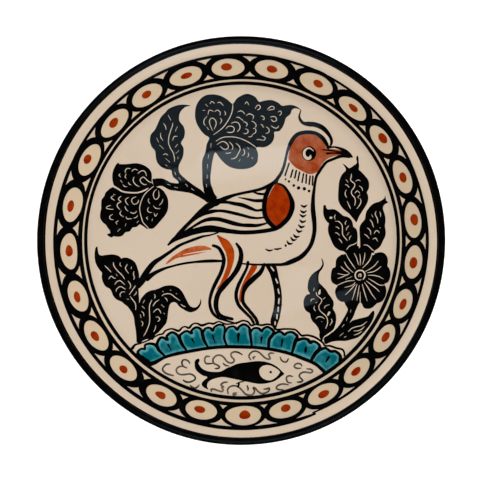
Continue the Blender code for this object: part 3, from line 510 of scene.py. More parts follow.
NECK = [
    (-21.2, 32, 3.6), (-20, 27.5, 5), (-17, 24, 5.2), (-14, 24.8, 3.4), (-10, 26.6, 2.8), (-5, 28.4, 2),
    (0, 29.6, 1.8), (6, 30.8, 1.8), (12, 32.2, 2), (17, 34.2, 2.6), (20.5, 36.5, 2.5), (22.5, 39, 2.2),
    (24.8, 42.5, 2), (26.5, 47, 1.8), (28, 53.5, 1.6), (29, 57, 1.9), (31.3, 62, 2.6), (35, 66, 2.4),
    (41, 67.2, 2.4), (46.5, 66.2, 2.4), (50.5, 63.3, 2.6), (53, 59.5, 2.2), (53.8, 57.2, 1.6)]
CREST = [
    (37, 80.5, 0.6), (36, 77.5, 1.1), (36.5, 75, 1.8), (38.5, 72.8, 2), (42, 72.2, 3), (46, 71.7, 3),
    (50, 70, 3), (53, 67.3, 2.6), (55.2, 64, 2), (56, 61.5, 1.8), (55.6, 59.5, 1.4), (54.3, 57.8, 0.8)]
THROAT = [
    (67, 51.8, 1.6), (62, 52.2, 2), (57, 50.5, 1.8), (53, 48.8, 1.8), (50.5, 46, 1.8), (48.5, 43, 1.8),
    (46.6, 40, 1.8), (45.5, 35, 1.7), (44.5, 27, 2.3), (44.3, 20, 2.9), (44.8, 15, 3), (45.3, 7, 2.6),
    (44, 0, 2.6), (41.6, -5, 2.6), (36.9, -10, 3), (30, -13.4, 3), (25, -14.8, 2), (18, -14.9, 1.8),
    (10, -14.9, 1.3), (4, -14.6, 1.2), (-1, -14.2, 0.9)]
BEAK = [
    [(53.5, 57.6, 1.3), (57.5, 57.9, 1.2), (61, 57, 1.6), (64.5, 55.2, 2.4), (67.3, 53, 2),
     (68.9, 51.6, 0.6)],
    [(50.5, 56.3, 0.8), (55, 55.8, 1), (60.5, 54.9, 0.9), (63.5, 54.2, 2.4), (66, 53, 2.2),
     (68.5, 51.5, 0.8)],
    [(53.2, 54, 1.5), (57, 54.2, 0.9), (61, 54, 1.3), (64.5, 53.5, 1.6)]]
WING_FRONT = [
    (22, 37, 1.6), (18.5, 34.5, 2.6), (15.8, 30, 3), (14.3, 25, 3), (13.9, 20, 3), (14.6, 15.5, 3),
    (17, 11.5, 2.8), (20.5, 8, 2.8)]
WING_EDGE = [
    (22.5, 35.7, 1), (26, 34, 1.6), (29, 30, 2), (31.2, 24.5, 3), (31.3, 20, 3.3), (29.4, 15, 3),
    (26.5, 11.5, 3), (22, 8, 2.8), (16, 6.4, 2.6), (8, 5.4, 2.6), (0, 5.2, 2.7), (-8, 6, 3),
    (-14, 7, 3.8), (-21, 7.5, 4.4), (-29, 6, 4), (-36, 3.8, 4), (-42, 1, 3), (-46, -2.5, 1.2)]
WING_BACK = [
    (-19, 22.5, 4.4), (-22.5, 20.5, 4), (-28, 16, 2.9), (-32, 12, 2.5), (-36, 8, 2.5), (-40, 3.7, 2.4),
    (-43, 0, 1.9)]
FEATHERS = [
    [(15.5, 29, 1.2), (11, 29.2, 1.6), (7, 30.3, 0.8)],
    [(13, 25, 2.2), (8, 25, 2), (3, 26, 1.4), (-2, 27, 0.6)],
    [(13, 19.3, 1.8), (9, 18.9, 1.6), (5, 20.4, 2.3), (0, 22.3, 2.6), (-5, 23.2, 2.3), (-9, 24, 2),
     (-14, 24.3, 2.4)],
    [(14, 14.6, 1.2), (10, 14.1, 1.4), (5, 14.6, 1.8), (0, 16, 2), (-5, 17.2, 2), (-10, 18.3, 2),
     (-15, 18.7, 1.8), (-20, 18, 2.6), (-24, 16.5, 1.8), (-29, 13.5, 1.2), (-34, 9.5, 1)],
    [(17, 11.3, 1), (10, 9.6, 2), (5, 9.6, 2.4), (0, 9.8, 2.3), (-5, 10.8, 2.7), (-10, 12.3, 2.7),
     (-15, 13.5, 2.6), (-20, 13.5, 2.6), (-25, 12, 2), (-31, 8.5, 1.6), (-36, 5, 2)]]
TAIL = [
    [(-15, 5, 1), (-20, 3.5, 1.1), (-24, 2.8, 1.4), (-28, 1.5, 1.8), (-36, -1.5, 1.8), (-40, -3.5, 2),
     (-45, -7, 2), (-50, -10.5, 2.4), (-55, -14, 3.2), (-59, -19, 3.7), (-61.7, -24, 4.4),
     (-64.5, -28, 3.6)],
    [(-11, -12.7, 1.4), (-20, -12.6, 2), (-30, -13.3, 1.5), (-38, -14.5, 1.4), (-45, -16.3, 1.4),
     (-50, -18, 2), (-55, -20.5, 2.6), (-59, -23.5, 3.6)]]
LEGS = [
    [(-18, -3, 1.2), (-15.6, -3.8, 1.6), (-13.6, -5.6, 1.8), (-11.6, -10, 1.9), (-11.4, -13.6, 2),
     (-13.2, -20, 1.9), (-16.2, -26, 1.9), (-18.8, -32, 1.7), (-20, -38.4, 1.5), (-18.4, -44.4, 1.6),
     (-14.8, -48, 1.2), (-12, -49, 0.9), (-8.8, -50, 0.8), (-6, -50.8, 0.7), (-3.2, -51.6, 0.5)],
    [(-3.4, -1.8, 1), (-1, -5.6, 2), (-0.6, -10.8, 2.6), (-2.6, -17.2, 2.8), (-6.4, -22.8, 2.5),
     (-10.8, -27.6, 3), (-14.6, -32.8, 2.6), (-16.1, -39, 2.7), (-15.2, -44.4, 2.2), (-12, -47.2, 1.8),
     (-6, -48.7, 1.5)],
    [(3.8, -13.4, 1.4), (3, -17.2, 1.3), (0.2, -22.8, 1.5), (-2.4, -28.4, 1.8), (-3.6, -34, 1.8),
     (-2.2, -39.6, 1.8), (1.6, -44, 1.5), (5.6, -48, 1.4), (7.4, -51, 1.3)],
    [(14, -14.8, 1.6), (11.6, -19.6, 2.4), (7.2, -23.6, 3), (2.8, -28, 2.8), (0.8, -33, 1.8),
     (0.9, -38.5, 1.8), (4.8, -43.6, 1.7), (8.4, -48, 1.7), (9.8, -51, 1.8)]]
HIND_LEG = [
    (14.8, -15.4), (17.6, -21.2), (19.6, -28.8), (20.4, -36), (19.6, -43.2), (17.8, -50.3), (19.4, -52.7),
    (21.2, -54.8), (22.3, -52), (23.8, -47.2), (25, -39.2), (24.7, -31.2), (23, -22.8), (21.2, -15.4),
    (18, -14.4)]
HIND_SCRATCHES = [
    [(18.2, -16.4), (19.8, -18.6)], [(21.2, -23.8), (22.2, -26.2)], [(22.6, -30.2), (23.2, -32.8)],
    [(23.2, -36), (23, -39)], [(22.7, -41.4), (22.6, -44)], [(22, -46), (21.9, -48.4)],
    [(20.8, -50.4), (20.8, -52)]]
NECK_DASHES = [
    [(29.5, 48), (27, 40.5)], [(31.8, 44), (30.5, 39.5)], [(34, 43.5), (33, 39)],
    [(36, 42.5), (35, 37.3)], [(38.5, 41.5), (37.6, 36.2)], [(40.3, 41), (40, 35.8)],
    [(42.6, 40), (42, 35)], [(44.3, 40), (44, 34.5)]]
NECK_DOTS = [
    (27.3, 38.2, 0.6), (29.4, 36.8, 0.8), (32.4, 34.3, 0.9), (35.4, 32.8, 1.1), (39, 32.2, 1.1),
    (41.9, 30.8, 0.9), (27.3, -3, 0.8)]
CHEST_DASHES = [
    [(15, -5.4), (17, -6.2), (19, -5.8)], [(20.3, -5.2), (22, -5.3), (24.5, -4.7)]]
CHEST_ARCS = [
    (29.5, -1.5, -25), (32, 0.8, -22), (33.8, 2.7, -19), (35.5, 6, -15), (37, 8.8, -12), (37.8, 12, -9),
    (38, 15.5, -6), (38.3, 18, -3), (38.7, 21.5, 0)]
EYE = (41.9, 54.0, 4.5)
EYE_COMMA = [
    (44.6, 55.6, 0.5), (43, 57, 0.8), (41, 57.3, 1), (39.3, 55.8, 1.5), (38.9, 53.5, 1.7),
    (40, 51.5, 1.8), (41.6, 51, 1.9), (42.8, 51.8, 1.6), (42.9, 52.8, 0.8)]
HEAD_RED = [
    (29.2, 52.7), (30, 57), (31.5, 61.5), (34, 64), (37, 65.5), (42, 66), (46, 65), (49.5, 62.5),
    (52, 59), (53, 57), (56, 56.8), (61, 56), (64, 54.8), (64, 53.3), (58, 52.4), (53, 50.4), (51, 48.5),
    (49.5, 46.5), (48, 43.5), (45.5, 41.8), (42, 41.3), (40, 42), (37, 43.5), (33.5, 45.5), (30.5, 48.5),
    (29, 51)]
WING_RED = [
    (21.6, 35.8), (16.8, 28), (15.2, 20), (17.4, 12.6), (20.6, 8.8), (27, 13.4), (30.8, 20.5), (29.4, 28),
    (25, 34.4)]
TAIL_RED = [
    (-47.5, -14.8), (-44, -10.5), (-35, -5), (-25, -3), (-19, -5.3), (-25, -7.6), (-36, -10), (-41, -11)]
TAIL_STREAK = [(-36.5, -8.6, 0.4), (-30, -7.4, 0.7), (-20, -6, 0.9)]
LEG_REDS = [
    [(-15.7, 3.5), (-12, 2), (-8.4, 0), (-5.2, -5.2), (-4.8, -10.8), (-6.4, -17.2), (-9, -23.2),
     (-13, -28.2), (-16, -30.5), (-13.6, -26.4), (-11, -20.4), (-9.2, -14), (-10, -8), (-12.8, -2.4)],
    [(6.4, -15), (4, -19.6), (1, -25.2), (-1, -30.8), (-1.8, -36.4), (-0.8, -38.6), (-0.2, -36), (1, -30),
     (3.8, -24.8), (7.6, -20), (9.6, -15.8)]]

FLOWER_TOP = [
    (-23.4, 30), (-23.9, 32.7), (-24.6, 36.1), (-24.7, 43), (-24.6, 50), (-22.7, 55), (-21.8, 60),
    (-20.2, 64), (-23, 66), (-26, 69.5), (-28.3, 74), (-28.9, 79), (-28, 84), (-25.5, 88), (-22, 90.3),
    (-17, 90.8), (-12.5, 89.8), (-8.5, 87.5), (-5.9, 85.1), (-5, 85.2), (-3, 88), (0, 90), (4, 91.1),
    (8.5, 89.3), (11, 86.2), (13.6, 86.7), (18.4, 87.2), (22.4, 85.8), (25.2, 83.6), (27, 83.7),
    (31.6, 84), (35.8, 82.1), (37.2, 80.4), (35.6, 81.5), (32.8, 81.9), (31.2, 80.6), (30.8, 79),
    (29.8, 77.8), (27.6, 76), (27.2, 74.6), (26.4, 72.2), (25.4, 70.2), (23.4, 67.9), (21.2, 67.8),
    (20.2, 67.2), (20.4, 65.4), (20, 63), (19, 61.2), (17.6, 59.8), (15.6, 58.6), (13.2, 58),
    (11.2, 58.2), (9, 57.9), (10, 55), (10.2, 52), (9.7, 49), (7.5, 46.5), (4, 45), (0, 44.6), (-4, 44.9),
    (-8, 46.3), (-11.5, 49), (-14.5, 52.5), (-16.6, 55), (-18.2, 50), (-19, 44.8), (-19.5, 40.6),
    (-19.4, 36.1), (-18.3, 32.7), (-17.1, 29.5), (-15.4, 26.8), (-19, 27)]
FLOWER_TOP_SCRATCHES = [
    [(-17.5, 66), (-12, 70), (-8.5, 74.5), (-6.2, 79), (-5.5, 82), (-5.3, 85.6)],
    [(-16, 62), (-12, 64.2), (-7, 64.7), (-2, 64), (3, 62), (7, 59.5), (9.6, 57.6)],
    [(-19, 60.7), (-19.3, 58.3)], [(-20.6, 53.7), (-20.9, 51.3)], [(-21.3, 47.7), (-21.4, 45.3)],
    [(-21.6, 41.2), (-21.7, 38.8)], [(-22.1, 35.2), (-22, 32.8)], [(-21, 29.5), (-19.8, 26.8)],
    [(-18, 68.5), (-19.9, 73), (-19.6, 75.5), (-18.3, 76.3), (-16.3, 75), (-15.8, 72.5), (-17, 69.5)],
    [(-21.5, 77.3), (-23.3, 75), (-23.3, 72.5), (-22.5, 71.8)], [(-21.8, 70.8), (-20.4, 69)],
    [(-20.8, 78.5), (-20.2, 81), (-19.2, 81.2), (-17.5, 80.3)],
    [(-16.5, 80.2), (-15, 81.2), (-13.2, 79.8), (-13.4, 78)],
    [(-13.2, 76.3), (-12.3, 74.8), (-13.3, 72.8)], [(-10.5, 80.5), (-9.8, 79), (-10.3, 78)],
    [(-24, 81), (-22.8, 81)], [(-19.5, 85), (-18.4, 86.6), (-16.7, 85.3)],
    [(-14.8, 85.6), (-13.3, 86), (-11.2, 84)], [(-22.3, 84.8), (-20.9, 83.5)],
    [(-9.8, 69.5), (-8.5, 71), (-6, 71.2), (-4.6, 70), (-5, 68), (-7, 67.3), (-9, 67.6)],
    [(-6.3, 73), (-4, 73.8), (-2, 73.2), (-0.9, 71), (-1.5, 69), (-2.8, 67.8)],
    [(-3.2, 76.7), (-1.5, 76.5), (1, 74.7)], [(-2.3, 79.8), (-0.8, 80.7), (0.8, 80.2), (2, 78.7)],
    [(3, 77.8), (5, 78.8), (7.5, 77.5), (7, 75.5)], [(1.2, 73.8), (2.5, 73.7), (3.7, 72.3), (2.8, 71)],
    [(6.3, 74.3), (8, 73.5), (9.2, 71.5), (8.3, 70.3)],
    [(2.3, 69.5), (3.8, 69), (4, 67.3), (2.5, 66.5), (1.2, 66.8)],
    [(7.3, 69.8), (8.8, 69.3), (8.8, 67.3), (7, 66.2)], [(4.2, 64.7), (6, 64.7), (6.8, 66)],
    [(2.2, 84.7), (3.3, 86.2), (4.8, 84.2)],
    [(8.5, 82), (10, 84), (11.4, 83.8), (11.8, 82.6), (11, 81.6), (10, 81.2)],
    [(16.2, 81.2), (17, 82.2), (18.8, 83.4), (20.4, 82.6), (20.3, 81.6), (18.4, 81.2), (17, 80.8)],
    [(22.8, 79.7), (24.2, 80.4), (24.9, 79.4), (24.7, 78.4), (23.6, 77.7)],
    [(17.9, 76.7), (19.2, 77), (20.8, 76.9), (21.7, 75.8), (21.8, 74.6), (20.8, 74), (19.6, 74.1),
     (18.5, 75.3)],
    [(11.9, 77.3), (13, 77.4), (14.2, 76.4), (14, 75.2), (13.2, 75.3)],
    [(12, 72.4), (13, 71.6), (13.7, 70.3)],
    [(18.3, 71.4), (20, 70.3), (21.4, 69.8), (22.6, 70.4), (23.3, 71.2)],
    [(15.4, 70.7), (16.6, 69.8), (17.3, 68.6), (16.8, 67.2), (15.2, 66.6)],
    [(12.6, 65), (14, 64.6), (14.8, 63.6), (14, 62.6), (13.2, 62.4)],
    [(9.5, 62.9), (12, 62.7), (13.2, 62.4)],
    [(-15.3, 60), (-12, 61.8), (-9.5, 60.8), (-8.3, 59), (-8.8, 57.3), (-11, 57), (-13.5, 58.8)],
    [(-7.7, 61.5), (-6, 59.8), (-5.4, 58.2), (-6, 56.8)],
    [(-3.5, 60.7), (-1.5, 58.8), (-0.9, 56.7), (-1.3, 55.8), (-2, 54.5), (-3.5, 52), (-5, 51.2),
     (-6.7, 51)],
    [(1.2, 57), (1.9, 55.3), (1.5, 53.7), (0.3, 53)], [(4, 54.8), (4.4, 53.3), (3.5, 52)],
    [(6.2, 52.2), (6.8, 51)], [(-10, 54.5), (-8, 54.5), (-6.7, 55.2)], [(-1, 50.6), (-2, 49.4)],
    [(3.6, 58), (4.5, 57)]]

LEAF_TOP = [
    (-31.5, 84), (-34.8, 83.1), (-38, 80), (-38.8, 76), (-38, 73.5), (-36, 71), (-35.3, 67.5), (-36, 64),
    (-37.8, 61), (-36.3, 58), (-36.2, 55), (-36.8, 52), (-38.5, 48.5), (-39.4, 46), (-39.1, 43),
    (-37.5, 40.8), (-35, 38.5), (-32, 36.1), (-28.6, 33.7), (-26, 32.1), (-24.3, 30.6), (-21.6, 28),
    (-21, 23.7), (-23.7, 25.4), (-26.5, 27.1), (-29.3, 28.5), (-32, 29.7), (-40, 31), (-45, 31.7),
    (-47.4, 33), (-49.4, 34), (-51.4, 34.2), (-53.2, 33.8), (-55, 34.8), (-55.7, 38.3), (-54, 38.8),
    (-51.7, 39), (-49.4, 38.8), (-46.7, 37.7), (-44, 36.3), (-39.5, 35.9), (-40.3, 37.7), (-42.5, 39.5),
    (-43.5, 41.5), (-44, 44), (-47, 44.6), (-50, 46), (-52.5, 48.5), (-53.5, 52), (-54, 56), (-56, 58.5),
    (-57, 62), (-56.5, 66), (-54, 69), (-52, 73), (-50, 77), (-47, 80), (-44.8, 82.2), (-38.1, 84.5)]
LEAF_TOP_SCRATCHES = [
    [(-42.8, 73.5), (-43, 71.5), (-44.5, 67.5), (-45.4, 64), (-45.4, 60.5), (-44.3, 57.5), (-42.8, 55),
     (-42, 52), (-41.9, 49.5)],
    [(-48.5, 73), (-47.2, 71), (-47, 69)], [(-50.4, 67), (-50.3, 64.5), (-49, 62.5)],
    [(-52.8, 64), (-51.8, 61.5)], [(-51, 59.5), (-48.5, 57.2)], [(-49, 53.5), (-47.5, 54.2), (-46, 53.3)],
    [(-47.5, 51.3), (-44.8, 49)], [(-47.8, 47.5), (-46.5, 46.7)], [(-45.5, 78), (-44, 75)],
    [(-40, 71), (-41.3, 68)], [(-40, 65), (-42, 64.8), (-43, 62.5)], [(-40, 60), (-41.5, 58.2)],
    [(-39, 56.2), (-41, 54.5)], [(-39.7, 52.4), (-39.8, 51)], [(-41.8, 42.9), (-41.2, 41.1)],
    [(-39.4, 39.4), (-38.2, 38)], [(-35.2, 35.4), (-33.8, 34)], [(-31.5, 32.6), (-29.9, 31.4)],
    [(-46.4, 35.3), (-44.6, 34.7)], [(-42, 33.4), (-40, 33)]]

FLOWER_LEFT = [
    (-79.4, 34), (-80, 35.7), (-80.5, 38.3), (-80.5, 41), (-80, 43.7), (-79, 46), (-77.7, 48),
    (-76.9, 48.7), (-76, 47.8), (-73.4, 47.7), (-70, 47.9), (-66.7, 48.3), (-64, 48.1), (-61.4, 47.3),
    (-59.4, 46.2), (-57.4, 44.5), (-56.4, 42.7), (-56, 40.3), (-55.9, 36), (-53.4, 33.8), (-51.4, 33),
    (-49.4, 31.7), (-48, 30), (-46.7, 27.7), (-46, 25.3), (-45.9, 22.7), (-46, 20.3), (-46.7, 18),
    (-48, 15.7), (-50, 13.3), (-52, 11), (-53.7, 9), (-55.4, 7.7), (-57, 7.5), (-59.4, 7.5), (-61, 8.7),
    (-62.7, 9.8), (-63.7, 10.3), (-64.7, 9.3), (-66, 8.5), (-68, 8.3), (-69, 7), (-70.2, 5.7),
    (-72.4, 5.3), (-74, 3.5), (-75.4, 2.7), (-77.4, 2.5), (-80, 2.7), (-81, 2), (-82.9, 2.8),
    (-83.9, 4.2), (-82, 4.7), (-82.2, 6.3), (-83.4, 8), (-84.7, 10), (-86.4, 11.3), (-87.7, 13.3),
    (-88.2, 15), (-88, 17.7), (-87.4, 20), (-87.5, 21.7), (-87.4, 24), (-87, 26), (-85.5, 27.7),
    (-84.9, 29.7), (-83.4, 31.3), (-81.7, 32.8), (-80, 33.5)]
FLOWER_LEFT_SCRATCHES = [
    [(-80.4, 34.2, 1.4), (-77.7, 32.8, 1.2), (-75.7, 31.5, 1.1), (-74, 30.7, 1.1), (-71.4, 30.2, 1.1),
     (-68.7, 30, 1.1), (-65.4, 30, 1.1), (-62.4, 30.7, 1.1), (-60, 31.8, 1.1), (-58.4, 32.8, 0.7)],
    [(-55, 34), (-57.4, 32), (-59.7, 30), (-61.4, 27.7), (-62.7, 24.7), (-63.4, 22.3), (-63.7, 20.3),
     (-63.4, 17.7), (-62.7, 14.7), (-61.7, 11.7), (-60, 9.7), (-57.6, 7.2)],
    [(-72.5, 42.3), (-72.5, 43.7), (-71.4, 45), (-69.4, 45)],
    [(-68.4, 43.2), (-67.4, 44.3), (-66, 44.5), (-64.9, 43.8)],
    [(-64.7, 42), (-63, 43.3), (-61.4, 43.7), (-60, 42.7), (-59.4, 40.5)],
    [(-75.7, 41.8), (-76.4, 40.8), (-75.4, 39.8)], [(-71.9, 41.5), (-72.7, 40), (-71.9, 38.8)],
    [(-75.5, 37.7), (-74.4, 36.3)], [(-74, 35), (-73, 33.8), (-71.5, 33.8)],
    [(-70.7, 36.5), (-70, 35.3), (-68.9, 34.8)],
    [(-67, 39.7), (-67.7, 38), (-67, 36), (-65.4, 34.5), (-63.7, 33.8)],
    [(-55.7, 36.3), (-57, 36.5), (-58.7, 37.5), (-60.2, 39), (-61.4, 39.8), (-62.9, 38.8), (-63.4, 37.7),
     (-62.4, 36), (-60.7, 35), (-59.4, 35.2)],
    [(-79.9, 28.8), (-78.9, 28.8)], [(-80, 28), (-81.4, 27), (-80.5, 26), (-79.2, 25.2)],
    [(-75.2, 27.8), (-76.7, 26.5), (-76.5, 25.3), (-75.2, 24.3), (-76.9, 23.5), (-77.7, 22.2),
     (-77.2, 20.8), (-76, 19.5)],
    [(-70.4, 27), (-72, 26.2), (-72.5, 25), (-72, 23.7), (-70.9, 22.3)],
    [(-66, 27.5), (-68, 26.5), (-68.7, 25), (-68, 23.5), (-67, 22.7), (-65.4, 23.3), (-64.4, 24.7),
     (-64.5, 25.5)],
    [(-81.7, 22), (-83.4, 21.5), (-84.4, 20.5), (-82.7, 19.8), (-80, 19.5)],
    [(-72.7, 21.5), (-72.4, 20), (-70.9, 18.5)],
    [(-69.5, 17.8), (-68, 17.2), (-66.7, 17.3), (-65.5, 18.5)],
    [(-75, 18.7), (-75.9, 17.3), (-75.4, 16), (-73.7, 15)],
    [(-80.4, 16.5), (-82.2, 15.3), (-82.4, 14.3), (-81.4, 13.3), (-80, 13.2)],
    [(-72, 15), (-71.7, 13.8), (-70.4, 13.7), (-68.7, 13.8)], [(-67.4, 14.3), (-66, 14.5), (-64.9, 15.7)],
    [(-77, 12.5), (-78.4, 11.5), (-77.7, 10.2)], [(-72.2, 10.7), (-72.7, 9.2)],
    [(-64.4, 12.3), (-65.4, 11.3)], [(-75.7, 7.5), (-77.4, 5.8)],
    [(-53.2, 32), (-54.7, 30.7), (-55.2, 28.7), (-54.9, 27), (-53.7, 25.8), (-52.2, 26.7), (-51.7, 28.3),
     (-51.9, 31.3)],
    [(-49.2, 26), (-50, 23.8), (-51.5, 22.2)], [(-58, 26.3), (-58.4, 24.7), (-57.2, 23.2)],
    [(-55.2, 21.8), (-53.7, 20.3), (-51, 20)], [(-58.2, 20.8), (-58.9, 19.3), (-58, 17.8), (-56.2, 17.7)],
    [(-54.7, 17.3), (-54, 15.3), (-52.7, 17)], [(-58.7, 15), (-59.5, 14.3), (-58.5, 13.2)],
    [(-55.7, 13.7), (-56.2, 12.3)]]

LEAF_PAIR = [
    (-89.9, -3.3), (-89.5, -6), (-88.7, -8.7), (-87.4, -9.2), (-83.4, -8.7), (-80.7, -8.5), (-77.7, -9),
    (-76, -10), (-75, -11), (-73.7, -10.5), (-71.7, -10.5), (-69.7, -11.2), (-67.7, -12.3), (-66, -14.3),
    (-64.7, -18), (-64.1, -20.3), (-63.9, -24.3), (-65, -26), (-64.4, -28.6), (-63.9, -31), (-63.7, -38),
    (-62.9, -36.3), (-61.4, -34.3), (-59.4, -32.3), (-56.7, -31), (-53.4, -30.3), (-50.7, -29.2),
    (-48.4, -28.2), (-45.7, -27.8), (-43.4, -27.8), (-40.7, -28.7), (-38.7, -30), (-37, -32),
    (-35.7, -34.3), (-34.5, -36.7), (-33, -39.6), (-31.7, -41), (-30, -41.6), (-28, -41.1),
    (-26.7, -39.6), (-26, -38), (-25.7, -36), (-25.2, -38.3), (-25.9, -40.6), (-27, -42.3), (-29, -43.8),
    (-31.7, -44.6), (-34, -44.1), (-36, -43), (-38.4, -41.5), (-40, -39.8), (-41, -38.6), (-42.7, -38.3),
    (-44.2, -39), (-45, -40.3), (-45.5, -42.3), (-45.9, -45), (-46.2, -48.3), (-47, -51.3),
    (-48.7, -53.6), (-50.4, -55.6), (-52, -57.3), (-53.7, -58.6), (-54.9, -61.6), (-57.4, -61.3),
    (-59.4, -61.3), (-61.7, -62.5), (-62.7, -63.8), (-65, -63.3), (-65.4, -60), (-65.7, -56.6),
    (-66.5, -51.7), (-67, -48.3), (-68, -45.3), (-69.7, -42.7), (-71.4, -40.7), (-73, -39.5),
    (-74.7, -38), (-77.7, -36.7), (-79.7, -34.7), (-81, -31.7), (-82, -30), (-84.4, -28.7),
    (-85.9, -26.7), (-86.9, -24), (-87.1, -21.7), (-87, -19.8), (-88.4, -18.3), (-90, -15.7),
    (-91, -13.3), (-91.5, -10), (-91.4, -6.7), (-90.9, -4.3)]
LEAF_PAIR_SCRATCHES = [
    [(-85.2, -15.5), (-84, -16.7), (-82.7, -18), (-81.4, -19.5)],
    [(-79.9, -13.5), (-79.9, -14.7), (-79.2, -16.3), (-78, -18), (-76.4, -19.7), (-74.7, -21.3),
     (-72.9, -23.8)],
    [(-75.7, -13.7), (-75.9, -15), (-75, -16)],
    [(-71.2, -14.7), (-72.5, -16.7), (-72, -18.3), (-70.5, -20.3)], [(-68.7, -16.2), (-69, -17.5)],
    [(-67.2, -19), (-67.5, -21), (-66.9, -22.7), (-67.4, -24.2)],
    [(-82.7, -23.8), (-81.7, -22.3), (-80.5, -22.3), (-79.7, -23.3), (-78.5, -23.3)],
    [(-78.2, -21), (-77.5, -21.7)],
    [(-79, -27.2), (-77.7, -25.5), (-76.2, -24.8), (-75, -25.3), (-72.9, -27.3)],
    [(-78.2, -31.7), (-77.7, -30), (-75.7, -28.5), (-74, -29.2), (-72.4, -30.2)],
    [(-75.5, -34.8), (-75.7, -33.3), (-74.7, -32), (-72.7, -31.8)],
    [(-70.7, -25.2), (-69.4, -27), (-69.2, -28.7), (-70, -29.8)],
    [(-64.9, -26.3), (-66.4, -28.3), (-68, -30.7), (-70, -33.5)],
    [(-69.4, -34.7), (-67.7, -37), (-66.4, -38.7), (-65.9, -40.7), (-66, -43)],
    [(-65.7, -31.7), (-65.9, -33), (-67.2, -34.2)], [(-71.4, -36.3), (-70.4, -36.5)],
    [(-56, -37), (-57, -39), (-57.5, -41.3), (-57.4, -45), (-57.2, -48.3), (-57.5, -51.7), (-58.4, -54.3),
     (-59.7, -57.3), (-60.9, -59.3)],
    [(-60.4, -37), (-61.5, -38.8)], [(-62, -40.7), (-60.5, -42.2)],
    [(-62.2, -44), (-61, -45.3), (-61, -47)], [(-63, -46), (-62.7, -48)],
    [(-62.4, -50), (-61.4, -51.3), (-61.9, -53)], [(-54.4, -33.3), (-53.9, -34.7), (-54.4, -35.8)],
    [(-51.5, -36.8), (-53.4, -38), (-54.5, -39.3), (-55.2, -40.7)],
    [(-49.7, -34.3), (-48.4, -33.3), (-45.4, -33), (-43.4, -33.8), (-41, -35.7), (-38.5, -37.3)],
    [(-49.5, -31.5), (-48.9, -31.9)], [(-44.8, -30.8), (-44.2, -30.8)], [(-41, -32.9), (-40.4, -33.1)],
    [(-48.5, -45.1), (-47.9, -45.5)], [(-48, -35.5), (-46.9, -36.2), (-46.4, -37.7)],
    [(-50, -39.8), (-48.4, -41.3)],
    [(-54.9, -44.5), (-53.7, -43.2), (-52.2, -42.5), (-50.9, -43.7), (-50.4, -45.2)],
    [(-53.2, -47.5), (-52, -47.5), (-50.9, -49), (-52.2, -50.3)],
    [(-53.4, -52.8), (-53.7, -54.7), (-54.7, -56.7)], [(-37.9, -39.6), (-36.7, -40.6), (-35.2, -41)],
    [(-64.2, -29.7), (-63.8, -34), (-63.6, -38.5)]]

LEAF_RIGHT = [
    (72, 52.5), (71.1, 51), (71.6, 48), (70, 46.7), (67, 44.8), (65.6, 45.7), (64.3, 46.8), (62.6, 47.7),
    (63.6, 46.3), (64.6, 44.7), (64.6, 43.2), (62.6, 41.3), (61.5, 39.3), (60.6, 36.7), (60.2, 33.3),
    (60, 30), (59.9, 27.3), (60.1, 24.7), (61.3, 22), (63, 19.7), (65, 18), (67, 16.3), (68.6, 14.3),
    (70, 12.7), (71.1, 11.2), (72, 12.7), (73, 15), (75, 18.3), (76.6, 20.7), (78, 23.3), (78.6, 26),
    (78.3, 28.3), (77.6, 29.8), (78.6, 31.3), (79.1, 33.3), (79, 36), (78, 38.3), (76.3, 40.3),
    (74, 42.7), (72.8, 43.8), (73, 46.3), (72.7, 48.3), (72.6, 51)]
LEAF_RIGHT_SCRATCHES = [
    [(68.3, 41.3), (68, 39.3), (67.6, 38), (68.1, 36.7), (69.6, 35.7), (70.3, 34.5), (69.8, 32.7),
     (68.6, 31.3), (68.1, 30), (68.6, 28.3), (70, 26.7), (70.6, 25), (70.5, 23.3), (70.1, 21.7)],
    [(64.8, 37.7), (66, 36.2)], [(64.3, 34.7), (65.5, 34.3), (66.8, 32.8)],
    [(65, 31.3), (64.3, 29.7), (64.5, 28), (65.3, 26.8)], [(65.6, 24.3), (66.6, 22), (67.6, 19.8)],
    [(70.8, 36.7), (72.6, 37.5), (73.6, 36.7)], [(73, 33.8), (74.5, 32.7), (75.1, 30.8)],
    [(70.3, 29.3), (71.8, 30.7), (73.3, 29.3)], [(73.5, 28.2), (72, 27), (72.8, 26.2)],
    [(73.6, 26), (74.1, 24.3), (73.3, 22), (71.5, 19.7)]]

# The two lower leaves, the flower, its stem and the leaf on the stem
LEAF_B = [
    (51, 22.2), (50.7, 20), (50.6, 17.7), (51, 15.3), (52, 13), (53.3, 11.3), (54.2, 10.7), (53.7, 8.7),
    (53.6, 6), (54.3, 3.3), (55.5, 0.3), (57.3, -3.3), (59, -5), (61, -6.2), (63.6, -6.8), (66, -8.5),
    (70, -6), (71.6, -3), (71.8, -0.3), (72, 2), (71.8, 5.3), (71, 7.3), (69.3, 8.7), (69.1, 10),
    (68.6, 12), (67.3, 13.7), (65.6, 14.8), (63.3, 15.3), (61.6, 16.7), (60, 18), (58, 19.3), (56, 19.5),
    (53.6, 19.3), (52.6, 20.3), (52.3, 22)]
LEAF_C = [
    (89, 28), (88.3, 25.9), (85.3, 24), (82.6, 23.2), (80.3, 21.7), (78.6, 19.7), (77.3, 17.7),
    (76.8, 15.3), (76.3, 13), (74.6, 11), (73.5, 9.3), (73.1, 7), (73.2, 3.7), (73.5, -0.3), (73.6, -3.7),
    (76, -6), (81, -8), (82.6, -6.2), (84.6, -5), (86.3, -3), (87.6, -0.3), (89, 2.7), (89.3, 5.3),
    (88.8, 8.7), (89.1, 11.3), (89, 14.7), (88.3, 17.3), (87.6, 19.8), (88, 21.3), (89, 22.5),
    (90.7, 23.3), (89.6, 24.7), (89.2, 26)]
